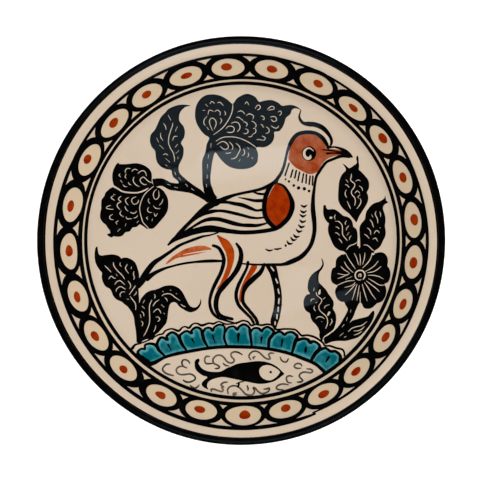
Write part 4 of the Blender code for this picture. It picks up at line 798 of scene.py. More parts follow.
FLOWER_RIGHT = [
    (64.5, -8.2), (62.6, -8.5), (61, -9.3), (59.3, -10.7), (58.5, -12.7), (58.3, -15), (58.1, -16.5),
    (56.6, -17), (55.8, -19), (55.4, -21.7), (55.5, -24.3), (56.5, -26.3), (58.3, -27.3), (59.6, -27.8),
    (58.3, -30), (58, -32), (58.5, -34.3), (59.6, -36.3), (61.6, -37.8), (63.6, -38), (64.3, -39.7),
    (65.6, -41.7), (65.8, -43.2), (64.4, -46), (62.8, -48.8), (60.8, -52), (58.8, -54.4), (56.4, -56.6),
    (53.6, -58.6), (51, -60.4), (51.4, -63.2), (52, -64.2), (56, -62.6), (60, -62), (64.4, -62),
    (69.2, -60.8), (72.4, -59.6), (75.2, -57.2), (78, -54), (80, -51.2), (81.6, -48), (82.2, -45.2),
    (82, -43.4), (81.2, -43.4), (79.6, -45.2), (78.4, -46.6), (76, -47.4), (72, -48.4), (68.4, -49.6),
    (67, -51), (68, -49.2), (69.4, -46.8), (70.4, -44), (71, -42.6), (73, -38.6), (74.3, -38.7),
    (75.3, -41), (76.6, -42), (78.6, -42.2), (80.6, -41.7), (82.3, -40.3), (84, -38.7), (86.3, -38),
    (88, -36.3), (89.1, -34), (89.6, -31.3), (89.3, -29), (88.6, -26.7), (90.3, -26), (91.5, -24.3),
    (92.1, -21.7), (92, -19), (91.3, -17), (90.3, -15.7), (90.6, -13.3), (90.3, -10.7), (89.3, -8.7),
    (87.6, -7.5), (85.6, -7.2), (83.6, -7.7), (82, -7.6), (80, -5), (76, -3.6), (73, -4), (71, -2.6),
    (68, -4.5)]
FLOWER_RIGHT_SCRATCHES = [
    [(65.1, -5.8), (66.3, -4), (68, -2.8), (70, -2.2), (71.6, -1)],
    [(72.7, 10, 1.3), (72.6, 4, 1), (72.8, -1, 0.9), (73, -4.5, 0.6)],
    [(75.6, -2.8), (77.6, -2.8), (79.3, -4), (81, -5.7), (82, -6.3)],
    [(81.2, -8.4, 1.6), (82, -8.4, 1.2)],
    [(58.3, 12), (60.3, 11.8), (61.6, 10.7), (62.5, 9), (62.6, 6.3), (62.6, 4.3), (63.3, 2.7),
     (64.6, 1.2), (65.6, 0)],
    [(58.3, 16), (57.6, 14.7), (58.1, 13.2)], [(55.2, 14.2, 1.5), (55.7, 14.2, 1.5)],
    [(58.5, 8.5), (59.5, 8.3), (60.6, 7.3)], [(58.1, 4.8), (59.3, 4.7), (60.8, 3.2)],
    [(60.3, 1.2), (61.5, 0), (62.3, -1.5)], [(65, 12.2), (64.3, 11), (64.6, 9.8)],
    [(66.5, 9), (65.3, 7.8), (65, 6.5)], [(66.6, 5), (65.3, 3.2)], [(68, 3), (67, 1.7), (67, 0.5)],
    [(83.3, 18), (82.8, 16.3), (83.5, 14.7), (84.3, 13), (84.3, 10.8)],
    [(85.6, 17.7), (86.1, 16.3), (86.1, 14.7)], [(80.6, 16), (81.5, 14.3)],
    [(79.6, 12.8), (80.8, 11.3), (81.3, 9.7), (81.8, 8.3)],
    [(77.8, 7.8), (79.3, 6.8), (80, 5.3), (80, 3.7)], [(82.1, 4.2), (83.3, 6), (84.5, 5.8), (85.3, 4.7)],
    [(76, 4), (77.6, 3), (79, 1.3)], [(81.3, 0.8), (83, 1.5), (84.3, -0.5)], [(85.6, 7.8), (86, 7.8)],
    [(64.6, -8), (66.6, -11.7), (68.6, -14.7), (70.5, -17.5)], [(69.8, -8), (71.3, -10.7), (72.5, -15)],
    [(73.3, -8.3), (73.7, -11.7), (73.5, -15.3)], [(76.5, -7.7), (76.1, -11), (75, -14.7)],
    [(80.8, -7.7), (80, -11), (78, -14), (75, -17)],
    [(84.5, -12.7), (82.6, -15.3), (80, -17.3), (76.6, -19.2)],
    [(86.3, -16), (84, -18), (81.3, -19.3), (77.8, -20)],
    [(78.3, -21.5), (81.6, -21.5), (85, -22.3), (87.8, -23.8)],
    [(78.6, -23.5), (82, -25.5), (85.6, -27.5), (89.4, -27.4)],
    [(77.3, -25), (80.6, -27.5), (83.8, -30), (85.3, -31.7)],
    [(76.1, -25.8), (78.3, -29), (80.6, -33), (83, -36.2)], [(74.8, -27), (76, -31.7), (77.8, -37.3)],
    [(73.5, -31.7), (73.5, -36.7), (73.6, -39)], [(73, -27.7), (72.3, -32), (71.5, -37)],
    [(71.6, -27), (70.3, -31), (68.6, -36.7)], [(70.6, -27), (68.3, -29.7), (64.3, -33.7)],
    [(70.5, -26), (68.3, -27.8), (64, -29)], [(70, -24.7), (66.3, -25), (63, -26), (59, -27.9)],
    [(68.5, -22.2), (64.6, -24)], [(59.6, -20.5), (65, -21.3), (67, -20.2)],
    [(59.6, -23.5), (62.6, -22.5), (65, -21.5)], [(61.6, -16), (63.6, -18), (66.6, -19.8)],
    [(63.8, -13.2), (65.6, -16.3), (69, -19.7)],
    [(75.4, -23.9, 0.8), (76.4, -22.2, 1), (76.3, -20.3, 1.1), (74.9, -18.7, 1.1), (72.8, -18.5, 1),
     (71, -19.6, 1), (70.4, -21.5, 1), (71, -23.4, 0.9), (72.6, -24.4, 0.8), (74, -24.2, 0.7)],
    [(72.6, -22.3, 0.7), (72.8, -21, 0.9), (73.8, -20.7, 1.1), (74.1, -21.7, 1), (73.6, -22.3, 0.8)],
    [(67.8, -42.8), (67.4, -44.4)], [(65.6, -47.6), (65, -49.6)], [(63.6, -51.8), (62.4, -53.4)],
    [(63.2, -57), (61, -59)], [(64.8, -59.2), (63.6, -59.8)],
    [(66.2, -56.2), (68.4, -54.2), (71.2, -53.2), (74.4, -52.4), (77.6, -50)],
    [(69.6, -55.8), (72.4, -55.6), (74.8, -54.4), (76, -53)], [(69.6, -58.4), (72.4, -57.4), (74.4, -56)]]

LEAF_CURLED = [
    (49.4, -10.8), (50.4, -12), (51, -14), (50.8, -16), (49.6, -18.2), (48.2, -20), (47.8, -22.8),
    (48, -25.6), (50, -28), (52.4, -30.4), (53.8, -32.8), (55.6, -35.2), (57, -37.6), (57.2, -40),
    (56.6, -42), (58, -44.4), (58.7, -47.2), (58.6, -50), (57.8, -53.2), (56.6, -55.4), (53.6, -57.6),
    (51, -59.6), (50.2, -62), (50.3, -63.4), (48.2, -59.2), (48.4, -56.8), (47.6, -54.4), (46, -52),
    (44, -50), (42.8, -47.6), (42.4, -45.2), (40, -43.6), (38.6, -40.8), (38.4, -38), (39, -35.6),
    (40.4, -33.6), (42.4, -33), (41.6, -31.6), (41, -29.6), (41.1, -26.8), (41.8, -24), (43.2, -21.6),
    (45.2, -19.6), (47.6, -18), (49.2, -16.4), (50, -14.8), (50, -13.2)]
LEAF_CURLED_SCRATCHES = [
    [(46.4, -32), (46.6, -33.6), (48, -35), (49.6, -36.4), (49.6, -38), (48.2, -40), (48, -42),
     (49.2, -44), (51.6, -46), (53, -48), (53.4, -50.4), (53, -52.4), (52.2, -54.4)],
    [(45, -29.2), (44.8, -31.2)], [(48.6, -30.8, 1.2), (48.2, -32.8, 1.6)],
    [(43, -37.8), (43.4, -36.4), (45.2, -36.2)], [(46, -38.6), (47, -38)],
    [(45.2, -40.4), (45, -42.4), (46, -43.6)], [(50.4, -36.4), (52, -35.2)],
    [(51.4, -42), (52, -40.6), (54.4, -39.6)], [(53.6, -46, 1.3), (54.4, -44.6, 1.6)],
    [(46.2, -48.4), (47.6, -47.2), (49.6, -47.2), (51.2, -48.4)], [(49.4, -50.2), (49.9, -50.2)],
    [(55.6, -48.4), (56.2, -50), (54.8, -52.4)]]

SCALLOPS = [
    (-67.6, -66.8, 2), (-66, -64.7, 1.4), (-62.5, -63.7, 1), (-57, -61.5, 1), (-51.9, -58.6, 1),
    (-49, -57.9, 1.2), (-47.5, -56, 1.1), (-43.5, -54.8, 1.1), (-39.3, -56.1, 1.6), (-37, -54, 1.1),
    (-35, -53.5, 1.1), (-32.8, -54.3, 1.6), (-30.7, -52, 1.1), (-28, -51.4, 1.1), (-24.8, -52.7, 1.7),
    (-20.4, -51.3, 1.2), (-17.6, -51.7, 1.4), (-14.3, -50.3, 1), (-10.4, -51.8, 1.1), (-7, -51.8, 1),
    (-2.4, -50.9, 1.3), (0.6, -49.7, 1.2), (4.1, -50.6, 1.2), (5.9, -52.7, 1.4), (8.7, -52, 1.2),
    (12.5, -52.5, 1.4), (16, -51.9, 1.2), (19.2, -52.7, 1.3), (21.6, -55.2, 1.4), (26.5, -54.8, 1.2),
    (32.1, -55, 1.2), (34.4, -56, 1.3), (37.2, -58.8, 1.4), (40.9, -58.6, 1.3), (45.6, -59.9, 1.4),
    (50.3, -63, 1.3), (51.7, -65, 1.2), (54.9, -65.1, 1.3), (58.7, -66.4, 1.3), (62.4, -67.2, 1.3),
    (63.6, -69, 1.2), (63.8, -71, 1.2)]
WATER_LINE = [
    (-58, -76.9, 2.4), (-54, -75.8, 2), (-47.5, -72.4, 1.4), (-40, -70.2, 1.6), (-30, -68.3, 1.5),
    (-20, -66.7, 1.5), (-10, -65.9, 1.6), (0, -66, 1.6), (10, -66.4, 1.5), (20, -67.7, 1.5),
    (30, -70, 1.6), (40, -73.7, 1.7), (46, -76.4, 1.6), (52, -81.4, 1.6)]
PETAL_LINES = [
    [(-59, -75.8, 3), (-63, -72.2, 2.4), (-64.2, -69, 1.5), (-61.8, -67, 1), (-59.9, -67.6, 1.2),
     (-60, -65, 1.3), (-57.5, -64, 1.2), (-54.4, -64.4, 1.6), (-52.4, -66, 2), (-51.3, -68.1, 1.8),
     (-47.5, -71.7, 1)],
    [(-52.4, -66, 1.6), (-52.4, -63.7, 1.6), (-51, -60.9, 1.6), (-48.9, -60.2, 1.4), (-46, -61.6, 1.8),
     (-46.6, -59.4, 1.5), (-43.3, -57, 1.4), (-40, -58.8, 1.7), (-38.4, -61.5, 2), (-37, -64.4, 1.9),
     (-34.2, -68.1, 1)],
    [(-38.3, -60.6, 1.6), (-38.2, -58.6, 1.4), (-34.4, -56.2, 1.2), (-31, -57.8, 1.6), (-31.3, -56, 1.3),
     (-28.3, -53.9, 1.3), (-25.3, -55.3, 1.5), (-24.4, -58, 2), (-23.4, -61.8, 1.8), (-20.8, -66.3, 1)],
    [(-24.2, -57, 1.6), (-22.5, -54.6, 1.2), (-19.6, -54.3, 1.2), (-18, -55.9, 1.8), (-17.1, -53.9, 1.2),
     (-14.1, -52.2, 1.1), (-10.8, -53.4, 1.2), (-10.7, -57.6, 1.2), (-10.8, -61, 1.5), (-8.9, -65.8, 1)],
    [(-10.4, -57, 1.2), (-8.5, -54.1, 1.1), (-5, -53.3, 1.1), (-2.7, -55.2, 1.8), (-1.8, -53.7, 1.3),
     (1.3, -52, 1.3), (4.6, -54, 1.4), (5.3, -58, 1.8), (6.4, -65.3, 1.2)],
    [(5.5, -57, 1.3), (7.3, -54.6, 1.2), (10.4, -54.4, 1.3), (12.5, -56.2, 1.8), (13.4, -54.8, 1.3),
     (16.4, -53.6, 1.3), (19.9, -56.2, 1.6), (19.6, -58, 1.9), (17.2, -61.5, 1.9), (16.8, -66, 1.7)],
    [(19.4, -58.3, 1.6), (22.3, -56.8, 1.3), (24.6, -56.7, 1.3), (26.6, -58.4, 1.6), (28.1, -57.2, 1.3),
     (31.4, -56.8, 1.4), (34.6, -59.4, 1.7), (33.4, -62.5, 2.2), (31.5, -69, 1.4)],
    [(34.4, -61.8, 1.8), (38.3, -60.7, 1.5), (41.2, -61.4, 1.7), (42.6, -63, 2.2), (45.1, -62.4, 1.4),
     (48.2, -64.6, 1.6), (48.3, -67.2, 2.2), (45.8, -69.8, 2.2), (43.5, -73.5, 1.8)],
    [(47.8, -67.8, 2), (52, -66.5, 1.4), (55.3, -68.5, 1.6), (58.2, -68.4, 1.6), (61.1, -70.9, 1.7),
     (61.2, -74.2, 2.2)]]
PETALS = [
    [(-63.2, -69.2), (-60.8, -67.8), (-59.3, -68.4), (-59.1, -66.4), (-56.8, -65), (-53.8, -66.4),
     (-52.4, -68.8), (-47.9, -71.8), (-54, -75), (-58, -76), (-61.7, -72.6)],
    [(-50.6, -69.6), (-51.6, -64.6), (-50, -61.7), (-48, -61.2), (-45.2, -62.9), (-45.3, -59.4),
     (-42.6, -58.2), (-40.2, -60), (-37.7, -64.2), (-34.9, -67.7), (-42.4, -69.7), (-46.9, -71.2)],
    [(-34, -67.2), (-36.8, -63.5), (-37.1, -59), (-34.4, -57), (-30.8, -58.9), (-30.2, -55.4),
     (-28, -54.7), (-25.5, -56.6), (-25.1, -59.5), (-21.5, -65.8), (-30.7, -67.4)],
    [(-20.5, -65.8), (-23, -61.4), (-23.1, -56.3), (-20.8, -54.8), (-18, -56.7), (-16.4, -53.7),
     (-14, -53), (-11.1, -54.6), (-11.4, -60), (-9.7, -65.1), (-15, -65.4)],
    [(-8.6, -65), (-9.6, -60.4), (-8.6, -55.2), (-5.6, -54), (-2.8, -55.9), (-0.6, -53.4), (1.8, -52.8),
     (4.2, -55), (4.4, -60), (5.5, -65), (-2, -65.1)],
    [(6.9, -65.2), (6.3, -59), (7.5, -55.4), (9.7, -54.9), (12.5, -57.2), (14.2, -54.8), (17, -54.4),
     (19.2, -56.6), (16.8, -61), (16.1, -65.5), (11.5, -65.6)],
    [(17.8, -66.4), (18.6, -61.8), (21.2, -58), (23.8, -57.3), (26.6, -59), (29.7, -57.5), (33, -58.6),
     (34, -60.8), (31.8, -65.6), (30.8, -69.2), (25, -67.8)],
    [(32.6, -69.4), (33.6, -65), (36.7, -61.9), (39.8, -61.6), (42, -63.9), (45.1, -63.3), (47.4, -65.6),
     (46, -68.8), (43.2, -73.2), (37, -71.2)],
    [(44, -74.4), (46.4, -70.6), (50.3, -68), (53, -67.6), (55, -69.2), (58.4, -69.4), (60.6, -72.5),
     (58.2, -76.3), (52.3, -80.4), (48.6, -77.2)]]
PETAL_SLITS = [
    [(-62.5, -71, 0.8), (-59, -73.6, 1.3), (-55.5, -76, 0.8)], [(-45.7, -64.6, 1.3), (-43.7, -68.1, 0.6)],
    [(-30.9, -61.1, 1.3), (-29.4, -63.7, 0.6)], [(-18.1, -59, 1.2), (-16.5, -63.5, 0.6)],
    [(-2, -58.1, 2), (-2.2, -62.8, 1)], [(12.4, -60.2, 1.5), (12.1, -63.5, 0.8)],
    [(25.3, -61.6, 1.5), (24.8, -65.3, 0.8)], [(40, -65.8, 0.9), (39.8, -67.6, 1.8), (39.5, -69.5, 0.8)],
    [(54, -72.1, 1.8), (52.4, -74.9, 0.9)]]
FISH = [
    (-26, -74.8), (-26.7, -76), (-26, -77.4), (-24.8, -79), (-22.9, -80.2), (-20.1, -81.1),
    (-17.4, -81.4), (-13.7, -81.3), (-11.3, -80.4), (-9, -79), (-6.2, -77.9), (-3.4, -76.7), (-0.6, -76),
    (4.6, -75.3), (9.3, -74.7), (14, -74.9), (16.3, -75.5), (18.6, -76.2), (21, -77.4), (23.3, -79),
    (25.4, -81.1), (26.6, -82.5), (25.2, -83.7), (22.8, -85.6), (20.5, -87), (17.7, -87.9), (14, -88.6),
    (10.2, -88.6), (6, -87.9), (1.3, -87), (-0.6, -86.5), (-4.3, -85.8), (-8, -85.1), (-11.8, -84.6),
    (-15, -85.1), (-17.8, -86), (-20.2, -87.4), (-21.2, -89.3), (-21.1, -90.7), (-20.2, -92.2),
    (-23.2, -90.9), (-24.6, -89.3), (-24.4, -87.9), (-23, -86.5), (-21.1, -84.6), (-23.9, -83.7),
    (-26.7, -81.8), (-28.6, -79.5), (-29.1, -76.7), (-28.8, -74.3), (-26.5, -73.2)]
FISH_FACE = [
    (11.9, -78.6), (14, -77.4), (16.3, -77.1), (18.6, -77.6), (21, -78.8), (22.8, -80), (24, -81.4),
    (23.3, -82.5), (21.9, -84.2), (20, -85.6), (18.2, -86.4), (15.9, -86.3), (13.5, -85.3), (11.9, -83.7),
    (11.1, -81.6), (11.2, -80)]
FISH_FINS = [
    [(1.3, -87.3, 0.8), (-1, -87.7, 0.8), (-3.1, -88.6, 0.6)], [(-1.5, -88.8, 1.5), (-2, -90.5, 1.2)]]
RIPPLES = [
    [(-44.4, -76.7), (-46.3, -76.7), (-47.9, -77.9), (-48.9, -79.5), (-48.2, -81.1), (-46.3, -82.5),
     (-44, -83.2), (-42.1, -83.7)],
    [(-32.1, -76.2), (-33, -74.8), (-34.9, -73.9), (-36.5, -74.3), (-37, -76.2), (-36, -78.1),
     (-33.9, -79)],
    [(-36.7, -78), (-38.6, -78.2), (-40, -79.3), (-40.4, -80.7), (-39.5, -82.3), (-37.4, -83.1),
     (-34.6, -83), (-31.8, -82.7), (-29.5, -83.7), (-28.5, -85.3), (-29.5, -86.7), (-32.3, -87.7),
     (-34.6, -87.4), (-36, -86.5)],
    [(-31.6, -89.8), (-30, -90.9), (-28.6, -91.4), (-27.2, -90.7), (-26.2, -89.5)],
    [(-19.9, -72), (-21.6, -71.8), (-22.7, -72.9), (-22.9, -74.8), (-22, -76.2), (-20.6, -76.4),
     (-17.8, -76.2)],
    [(-16.2, -79.3), (-14.6, -79.3), (-13.6, -78.3), (-15, -77.2), (-17.1, -76.2), (-17.8, -74.1),
     (-16.7, -72.2), (-14.6, -71.1), (-12.2, -71.5), (-10.4, -73.2), (-9, -75), (-6.6, -76), (-5, -75.3),
     (-4.5, -73.9), (-5.9, -72.5), (-6.6, -71.1), (-6.2, -69.7), (-4, -69), (-2, -69.4), (0.4, -70.7)],
    [(-11.3, -76.2), (-9.9, -77.4), (-8, -77.7)],
    [(5.8, -73.9), (4.6, -72), (5.3, -70.1), (7, -68.8), (8.8, -68.5), (10.7, -69.2), (12.6, -70.8),
     (14.4, -72.5), (16.3, -73.4), (17.9, -73.3), (17.5, -72.2), (16.8, -70.6), (18.2, -69.7),
     (20, -69.9)],
    [(8.4, -72), (7, -72.5), (7.7, -73.4)],
    [(24, -72.2), (24.7, -73.9), (26.1, -75), (28, -75), (29.1, -73.2)],
    [(37.5, -77.6), (36.8, -76.4), (35, -76), (33.3, -76.7), (32.8, -78.1), (34.5, -79), (36.8, -78.9)],
    [(40.6, -79.3), (42.9, -79.5), (44.3, -80.7), (42.9, -81.7), (40.6, -81.4), (38.2, -81.4),
     (36.4, -82.5), (35.9, -83.9), (37.1, -85.3), (38.1, -86.5), (36.8, -87.3), (34.7, -87.4)],
    [(31.7, -84.1), (30.1, -83.6), (28.2, -84.2), (28, -86), (29.1, -87.7), (31, -87.9)],
    [(29.1, -89.1), (27, -88.7), (24.7, -88.8), (22.4, -89.8), (21.7, -91.2), (23.3, -92.1),
     (26.1, -92.1)],
    [(14, -91.9), (15.8, -91.7), (17.5, -91.2), (17, -93), (14.9, -94.2), (12.6, -94.5), (10.5, -93.3),
     (8.8, -91.4), (7.7, -90.9), (7.4, -91.2), (8.3, -93), (7.4, -94.9), (5.5, -95.6), (2.7, -94.9),
     (0.8, -93), (-1, -91.2), (-3.4, -90), (-5.7, -90), (-7.6, -90.9), (-8.5, -92.6), (-8, -94.7)],
    [(3.6, -89.8), (4.3, -91.6), (4.1, -92.6)],
    [(-8.7, -87.7), (-10.8, -87.9), (-12.7, -89.3), (-10.8, -90.7), (-12.2, -90.9), (-11.1, -92.6),
     (-11.8, -93.5), (-14.6, -92.8), (-16.9, -92), (-18.8, -92.1), (-18.3, -93.3)],
    [(-4.4, -95, 2.2), (-3.8, -94.8, 2)], [(-4.1, -94.9, 1), (-2.9, -94, 0.6)],
    [(-4.1, -94.9, 1), (-2.7, -95.4, 0.6)]]


# ---------------------------------------------------------------- the pieces

def make_dish():
    """The clay, its two glazes, its foot and its lip, all turned round the plate's axis."""
    radii = np.concatenate([np.arange(0, 88, 2.0), np.arange(88, 120.6, 0.75), [120.9]])
    face = [(r, float(top(r))) for r in radii]
    turned("front_glaze", face + [below(r, COAT) for r in radii[::-2]], CREAM)

    rim = [(121.4, 34.75), (123.0, 35.05), (123.95, 34.1), (124.0, 32.4), (123.2, 30.6)]
    upper = [below(r, COAT + GAP) for r in np.linspace(0, 120.3, 60)]
    under = [below(r, BODY_THICKNESS) for r in np.linspace(112, 0, 60)]
    turned("clay_body", upper + rim + under, CLAY)

    outside = np.concatenate([np.linspace(63.6, 112, 50), [115.0]])
    near = [below(r, BODY_THICKNESS + GAP) for r in outside] + [(123.3, 29.9)]
    far = [below(r, BODY_THICKNESS + GAP + COAT) for r in outside] + [(123.9, 29.5)]
    turned("back_glaze", near + far[::-1], CREAM)

    inner_top = below(FOOT_INNER + 0.5, BODY_THICKNESS + 0.05)[1]
    outer_top = below(FOOT_OUTER - 0.3, BODY_THICKNESS + 0.05)[1]
    corner = 1.2
    bends = np.radians([0, 22, 45, 68, 90])
    inside = [(FOOT_INNER + corner - corner * math.cos(a), corner - corner * math.sin(a)) for a in bends]
    outside = [(FOOT_OUTER - corner + corner * math.sin(a), corner - corner * math.cos(a)) for a in bends]
    turned("foot_ring", inside + outside + [(FOOT_OUTER - 0.4, outer_top), (FOOT_INNER + 0.4, inner_top)],
           CLAY)

    lip = along([(LIP_INNER, 34.9), (121.2, 35.65), (122.9, 36.1), (124.4, 35.5), (RADIUS, 34.0),
                 (124.9, 32.3), (124.1, 30.5)], 0.35)
    tuck = [(123.5, 30.6), (124.3, 32.4), (124.3, 34.2), (123.1, 35.4), (121.3, 35.1),
            (LIP_INNER + 0.2, 34.65)]
    turned("rim_band", [tuple(p) for p in lip] + tuck, BLACK)


def polar(degrees, radius):
    """A point from its bearing, clockwise from the top of the picture, and its radius."""
    turn = math.radians(90 - degrees)
    return (radius * math.cos(turn), radius * math.sin(turn))


def around(knots, side=0.0):
    """A closed line round the plate; side moves it out or in by that many half widths."""
    degrees = [knot[0] for knot in knots]
    radii = [knot[1] + side * sum(knot[2:]) / 2 for knot in knots]
    steps = np.arange(0, 360, 0.6)
    reaches = np.interp(steps, degrees, radii, period=360)
    return Wash(np.array([polar(d, r) for d, r in zip(steps, reaches)]), False)


def arc(knots):
    """A brushed line part of the way round the plate."""
    degrees, radii, widths = zip(*knots)
    steps = np.arange(degrees[0], degrees[-1], 2.0)
    at = [np.interp(steps, degrees, values) for values in (radii, widths)]
    return Stroke([(*polar(d, r), w) for d, r, w in zip(steps, *at)])


def oval(degrees, reach, before, after, height, points, wander=0.0):
    """An oval on the border, bent to follow the ring, slightly uneven as if brushed."""
    turns = np.linspace(0, math.tau, points, endpoint=False)
    bulge = 1 + wander * (rng.normal() * np.cos(2 * turns + rng.uniform(0, 6)) / 2
                          + rng.normal() * np.cos(3 * turns + rng.uniform(0, 6)) / 2)
    across = np.where(np.cos(turns) > 0, after, before) * bulge * np.cos(turns)
    angle = math.radians(90 - degrees) - across / LINK_RADIUS
    radius = reach + height * bulge * np.sin(turns)
    return np.stack([radius * np.cos(angle), radius * np.sin(angle)], axis=1)


def make_border():
    """The chain on the wall, the line round the well, the ledge's black edge and the dots."""
    bearings = [link[0] for link in LINKS]
    inner = [around(INNER_LINE, side) for side in (-1, 1)]
    outer = [arc(line) for line in OUTER_LINE]
    limit = Beyond(LEDGE_EDGE)
    links, holes = [], []
    for k, (degrees, half, low, high) in enumerate(LINKS):
        before = (degrees - bearings[k - 1]) % 360 * DEGREE / 2 + LINK_OVERLAP
        after = (bearings[(k + 1) % len(LINKS)] - degrees) % 360 * DEGREE / 2 + LINK_OVERLAP
        links.append(Wash(oval(degrees, LINK_RADIUS, before, after, LINK_HEIGHT, 72, 0.01), False))
        holes.append(Wash(oval(degrees, (low + high) / 2, half, half, (high - low) / 2, 64, 0.03), False))
    places, faces = triangles([s.outline() for s in [*outer, *inner, limit, *links, *holes]])
    middles = places[faces].mean(axis=1)
    chain = np.any([s.holds(middles) for s in links], axis=0) & ~limit.holds(middles)
    painted = (inner[1].holds(middles) | chain) & ~inner[0].holds(middles)
    painted &= ~np.any([s.holds(middles) for s in holes], axis=0)
    painted |= np.any([s.holds(middles) for s in outer], axis=0)
    loops = [simplified(loop) for loop in border_loops(places, faces[painted])]
    skin("border_chain", [loop for loop in loops if len(loop) > 2], BLACK, BLACK_LIFT, 1.2)
    well = [around(WELL_LINE, side).outline() for side in (1, -1)]
    skin("well_ring", well, BLACK, BLACK_LIFT, 1.2)
    edge = [circle(121.0, 480), around(RIM_EDGE).outline()]
    skin("rim_edge", edge, BLACK, BLACK_LIFT, 1.2)
    for k, bearing in enumerate(bearings, start=1):
        half, height = 3.4 + rng.normal(0, 0.2), 2.0 + rng.normal(0, 0.15)
        where = bearing + rng.normal(0, 0.3)
        dab = oval(where, LINK_RADIUS + rng.normal(0, 0.3), half, half, height, 24, 0.06)
        skin(f"border_dot_{k:02d}", [dab], RED, WASH_LIFT, 1.0)


def make_bird():
    """Its outline and marks as one skin of black, then its eye and the red washes under it."""
    outline = [NECK, CREST, THROAT, *BEAK, WING_FRONT, WING_EDGE, WING_BACK, *FEATHERS, *TAIL]
    outline = strokes(outline) + strokes(LEGS, grow=0.25)
    marks = strokes(NECK_DASHES, 1.5) + strokes(CHEST_DASHES, 1.2)
    marks += [Wash(circle(r, 12, x, y), False) for x, y, r in NECK_DOTS]
    for x, y, turn in CHEST_ARCS:
        c, s = math.cos(math.radians(turn)), math.sin(math.radians(turn))
        smile = [(-1.9, 0.7, 0.6), (-0.9, -0.1, 1.3), (0.1, -0.5, 1.6), (1.0, -0.1, 1.2), (1.9, 0.7, 0.6)]
        marks.append(Stroke([(x + c * u - s * v, y + s * u + c * v, w) for u, v, w in smile]))
    shapes = outline + marks + [Wash(HIND_LEG)]
    film("bird_outline", shapes, strokes(HIND_SCRATCHES, 1.2), BLACK)
    x, y, radius = EYE
    film("bird_eye", [Wash(circle(radius, 40, x, y), False)], [Stroke(EYE_COMMA)], BLACK)
    around_eye = [Wash(circle(radius - 0.3, 40, x, y), False)]
    reds = [("bird_head_red", HEAD_RED, around_eye), ("bird_wing_red", WING_RED, []),
            ("bird_tail_red", TAIL_RED, [Stroke(TAIL_STREAK)])]
    reds += [(f"bird_leg_red_{k}", points, []) for k, points in enumerate(LEG_REDS, start=1)]
    kinds = {"bird_head_red": THIN_RED, "bird_wing_red": RED, "bird_tail_red": ORANGE}
    for name, points, cutters in reds:
        film(name, [Wash(points)], cutters, kinds.get(name, BRIGHT_RED), WASH_LIFT, 1.5)


def make_plants():
    """The flowers and leaves, with their scratched lines left bare."""
    for name, shapes, scratches in (
            ("flower_top", [FLOWER_TOP], FLOWER_TOP_SCRATCHES), ("leaf_top", [LEAF_TOP], LEAF_TOP_SCRATCHES),
            ("flower_left", [FLOWER_LEFT], FLOWER_LEFT_SCRATCHES),
            ("leaf_pair_left", [LEAF_PAIR], LEAF_PAIR_SCRATCHES),
            ("leaf_right", [LEAF_RIGHT], LEAF_RIGHT_SCRATCHES),
            ("flower_right", [LEAF_B, LEAF_C, FLOWER_RIGHT], FLOWER_RIGHT_SCRATCHES),
            ("leaf_curled", [LEAF_CURLED], LEAF_CURLED_SCRATCHES)):
        washes = [Wash(points) for points in shapes]
        film(name, washes, strokes(scratches, 0.7, grow=-0.1), BLACK)


def make_bank():
    """The scalloped bank with its petals, and the fish with ripples round it."""
    edge = [Beyond(WELL_EDGE)]
    film("bank_scallop", strokes([SCALLOPS]), edge, BLACK)
    lines = strokes([WATER_LINE], grow=0.3) + strokes(PETAL_LINES, grow=0.15) + strokes(PETAL_SLITS)
    film("bank_outline", lines, edge, BLACK)
    for k, petal in enumerate(PETALS, start=1):
        shape = [Wash(petal), Stroke([*petal, petal[0]], 0.9, 1.0)]
        film(f"bank_petal_{k}", shape, edge, TURQUOISE, WASH_LIFT, 1.0)
    film("fish", [Wash(FISH), *strokes(FISH_FINS)], [Wash(FISH_FACE)], BLACK)
    film("fish_eye", [Wash(circle(0.8, 14, 18.2, -81.4), False)], [], BLACK)
    film("fish_ripples", strokes(RIPPLES, 1.15), [], THIN, SOFT_LIFT)


# ---------------------------------------------------------------- floor, light and camera

def panel(name, middle, size, turn, glow, colour, soft=False):
    """A flat lamp facing down; a soft one lights the plate without being mirrored in the glaze."""
    data = bpy.data.lights.new(name, "AREA")
    data.shape = "RECTANGLE"
    data.size, data.size_y = size
    data.energy = glow * math.pi * size[0] * size[1]
    data.color = colour
    thing = bpy.data.objects.new(name, data)
    thing.location = middle
    thing.rotation_euler = (0.0, 0.0, math.radians(turn))
    thing.visible_glossy = not soft
    bpy.context.scene.collection.objects.link(thing)


def make_floor():
    """A white sheet that the glaze doesn't mirror."""
    half = 6.0
    corners = [(-half, -half, 0), (half, -half, 0), (half, half, 0), (-half, half, 0)]
    mesh = bpy.data.meshes.new("floor")
    mesh.from_pydata(corners, [], [(0, 1, 2, 3)])
    floor = bpy.data.objects.new("floor", mesh)
    bpy.context.scene.collection.objects.link(floor)
    paper = Finish("floor_paper", 0.9)
    paper.shader.inputs["Base Color"].default_value = (0.9, 0.9, 0.9, 1.0)
    paper.shader.inputs["Specular IOR Level"].default_value = 0.0
    paper.shader.inputs["Emission Color"].default_value = (1.0, 1.0, 1.0, 1.0)
    paper.shader.inputs["Emission Strength"].default_value = 0.6
    mesh.materials.append(paper.material)
    floor.visible_glossy = False


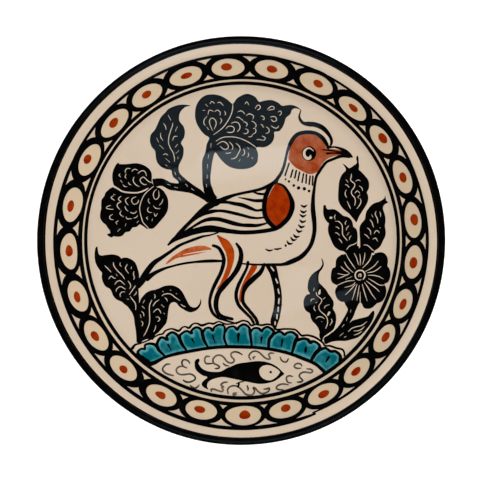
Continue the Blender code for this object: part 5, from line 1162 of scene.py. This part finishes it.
def make_lights():
    """One soft lamp overhead, and the panes and panels that the glaze mirrors."""
    panel("overhead", (0.36, 0.12, 2.0), (2.6, 3.6), 0, 2.3, (1.0, 0.997, 0.985), soft=True)
    panel("rim_glint", (0.0, -2.8, WINDOW_HEIGHT), (3.0, 0.5), 0, 0.4, SIDE_SKY)
    for name, x, y, size, turn, glow, colour in (
            ("window_far", -0.104, -0.303, (0.468, 0.2), WINDOW_TURN, 0.42, SKY),
            ("window_high", 0.05, -0.82, (1.1, 0.78), WINDOW_TURN, 0.42, SKY),
            ("window_left", 0.021, -0.134, (0.082, 0.037), WINDOW_TURN, 0.9, SKY),
            ("window_corner", 0.05, -0.179, (0.12, 0.045), WINDOW_TURN, 0.42, SKY),
            ("side", -0.2848, 0.1508, (0.0943, 0.0902), 0, 0.8, SIDE_SKY),
            ("side_low", -0.2663, 0.206, (0.107, 0.0205), 20, 1.3, SIDE_SKY),
            ("side_far", -0.4057, 0.1775, (0.066, 0.029), 20, 0.5, SIDE_SKY)):
        panel(name, (x, y, WINDOW_HEIGHT), size, turn, glow, colour)
    # The near window fades toward its lower edge, strip by strip
    edge_x, edge_y, width, strip = -0.139, -0.199, 0.238, 0.0177
    for k, glow in enumerate((2.0, 2.0, 1.9, 1.4, 0.5)):
        down = strip * (k + 0.5)
        x = edge_x - math.tan(math.radians(WINDOW_TURN)) * down
        middle = (x, edge_y + down, WINDOW_HEIGHT)
        panel(f"window_near_{k}", middle, (width, strip), WINDOW_TURN, glow, BRIGHT_SKY)

    world = bpy.data.worlds.new("studio")
    world.use_nodes = True
    background = world.node_tree.nodes["Background"]
    background.inputs["Color"].default_value = (0.8, 0.85, 0.9, 1.0)
    background.inputs["Strength"].default_value = 0.018
    bpy.context.scene.world = world


def make_camera():
    """Nearly straight above the plate, with the top of the painting up."""
    lens = bpy.data.cameras.new("camera")
    lens.lens = 135.3
    lens.sensor_width = 36.0
    camera = bpy.data.objects.new("camera", lens)
    target = Vector((0.0002, 0.0001, 0.034))
    camera.location = target + Vector((0.069, -0.0185, 1.1))
    bpy.context.scene.collection.objects.link(camera)
    back = (camera.location - target).normalized()
    right = Vector((0.0, 1.0, 0.0)).cross(back).normalized()
    camera.rotation_euler = Matrix((right, back.cross(right), back)).transposed().to_euler()
    bpy.context.scene.camera = camera
    bpy.context.scene.view_settings.view_transform = "Standard"


make_dish()
make_border()
make_bird()
make_plants()
make_bank()
make_floor()
make_lights()
make_camera()
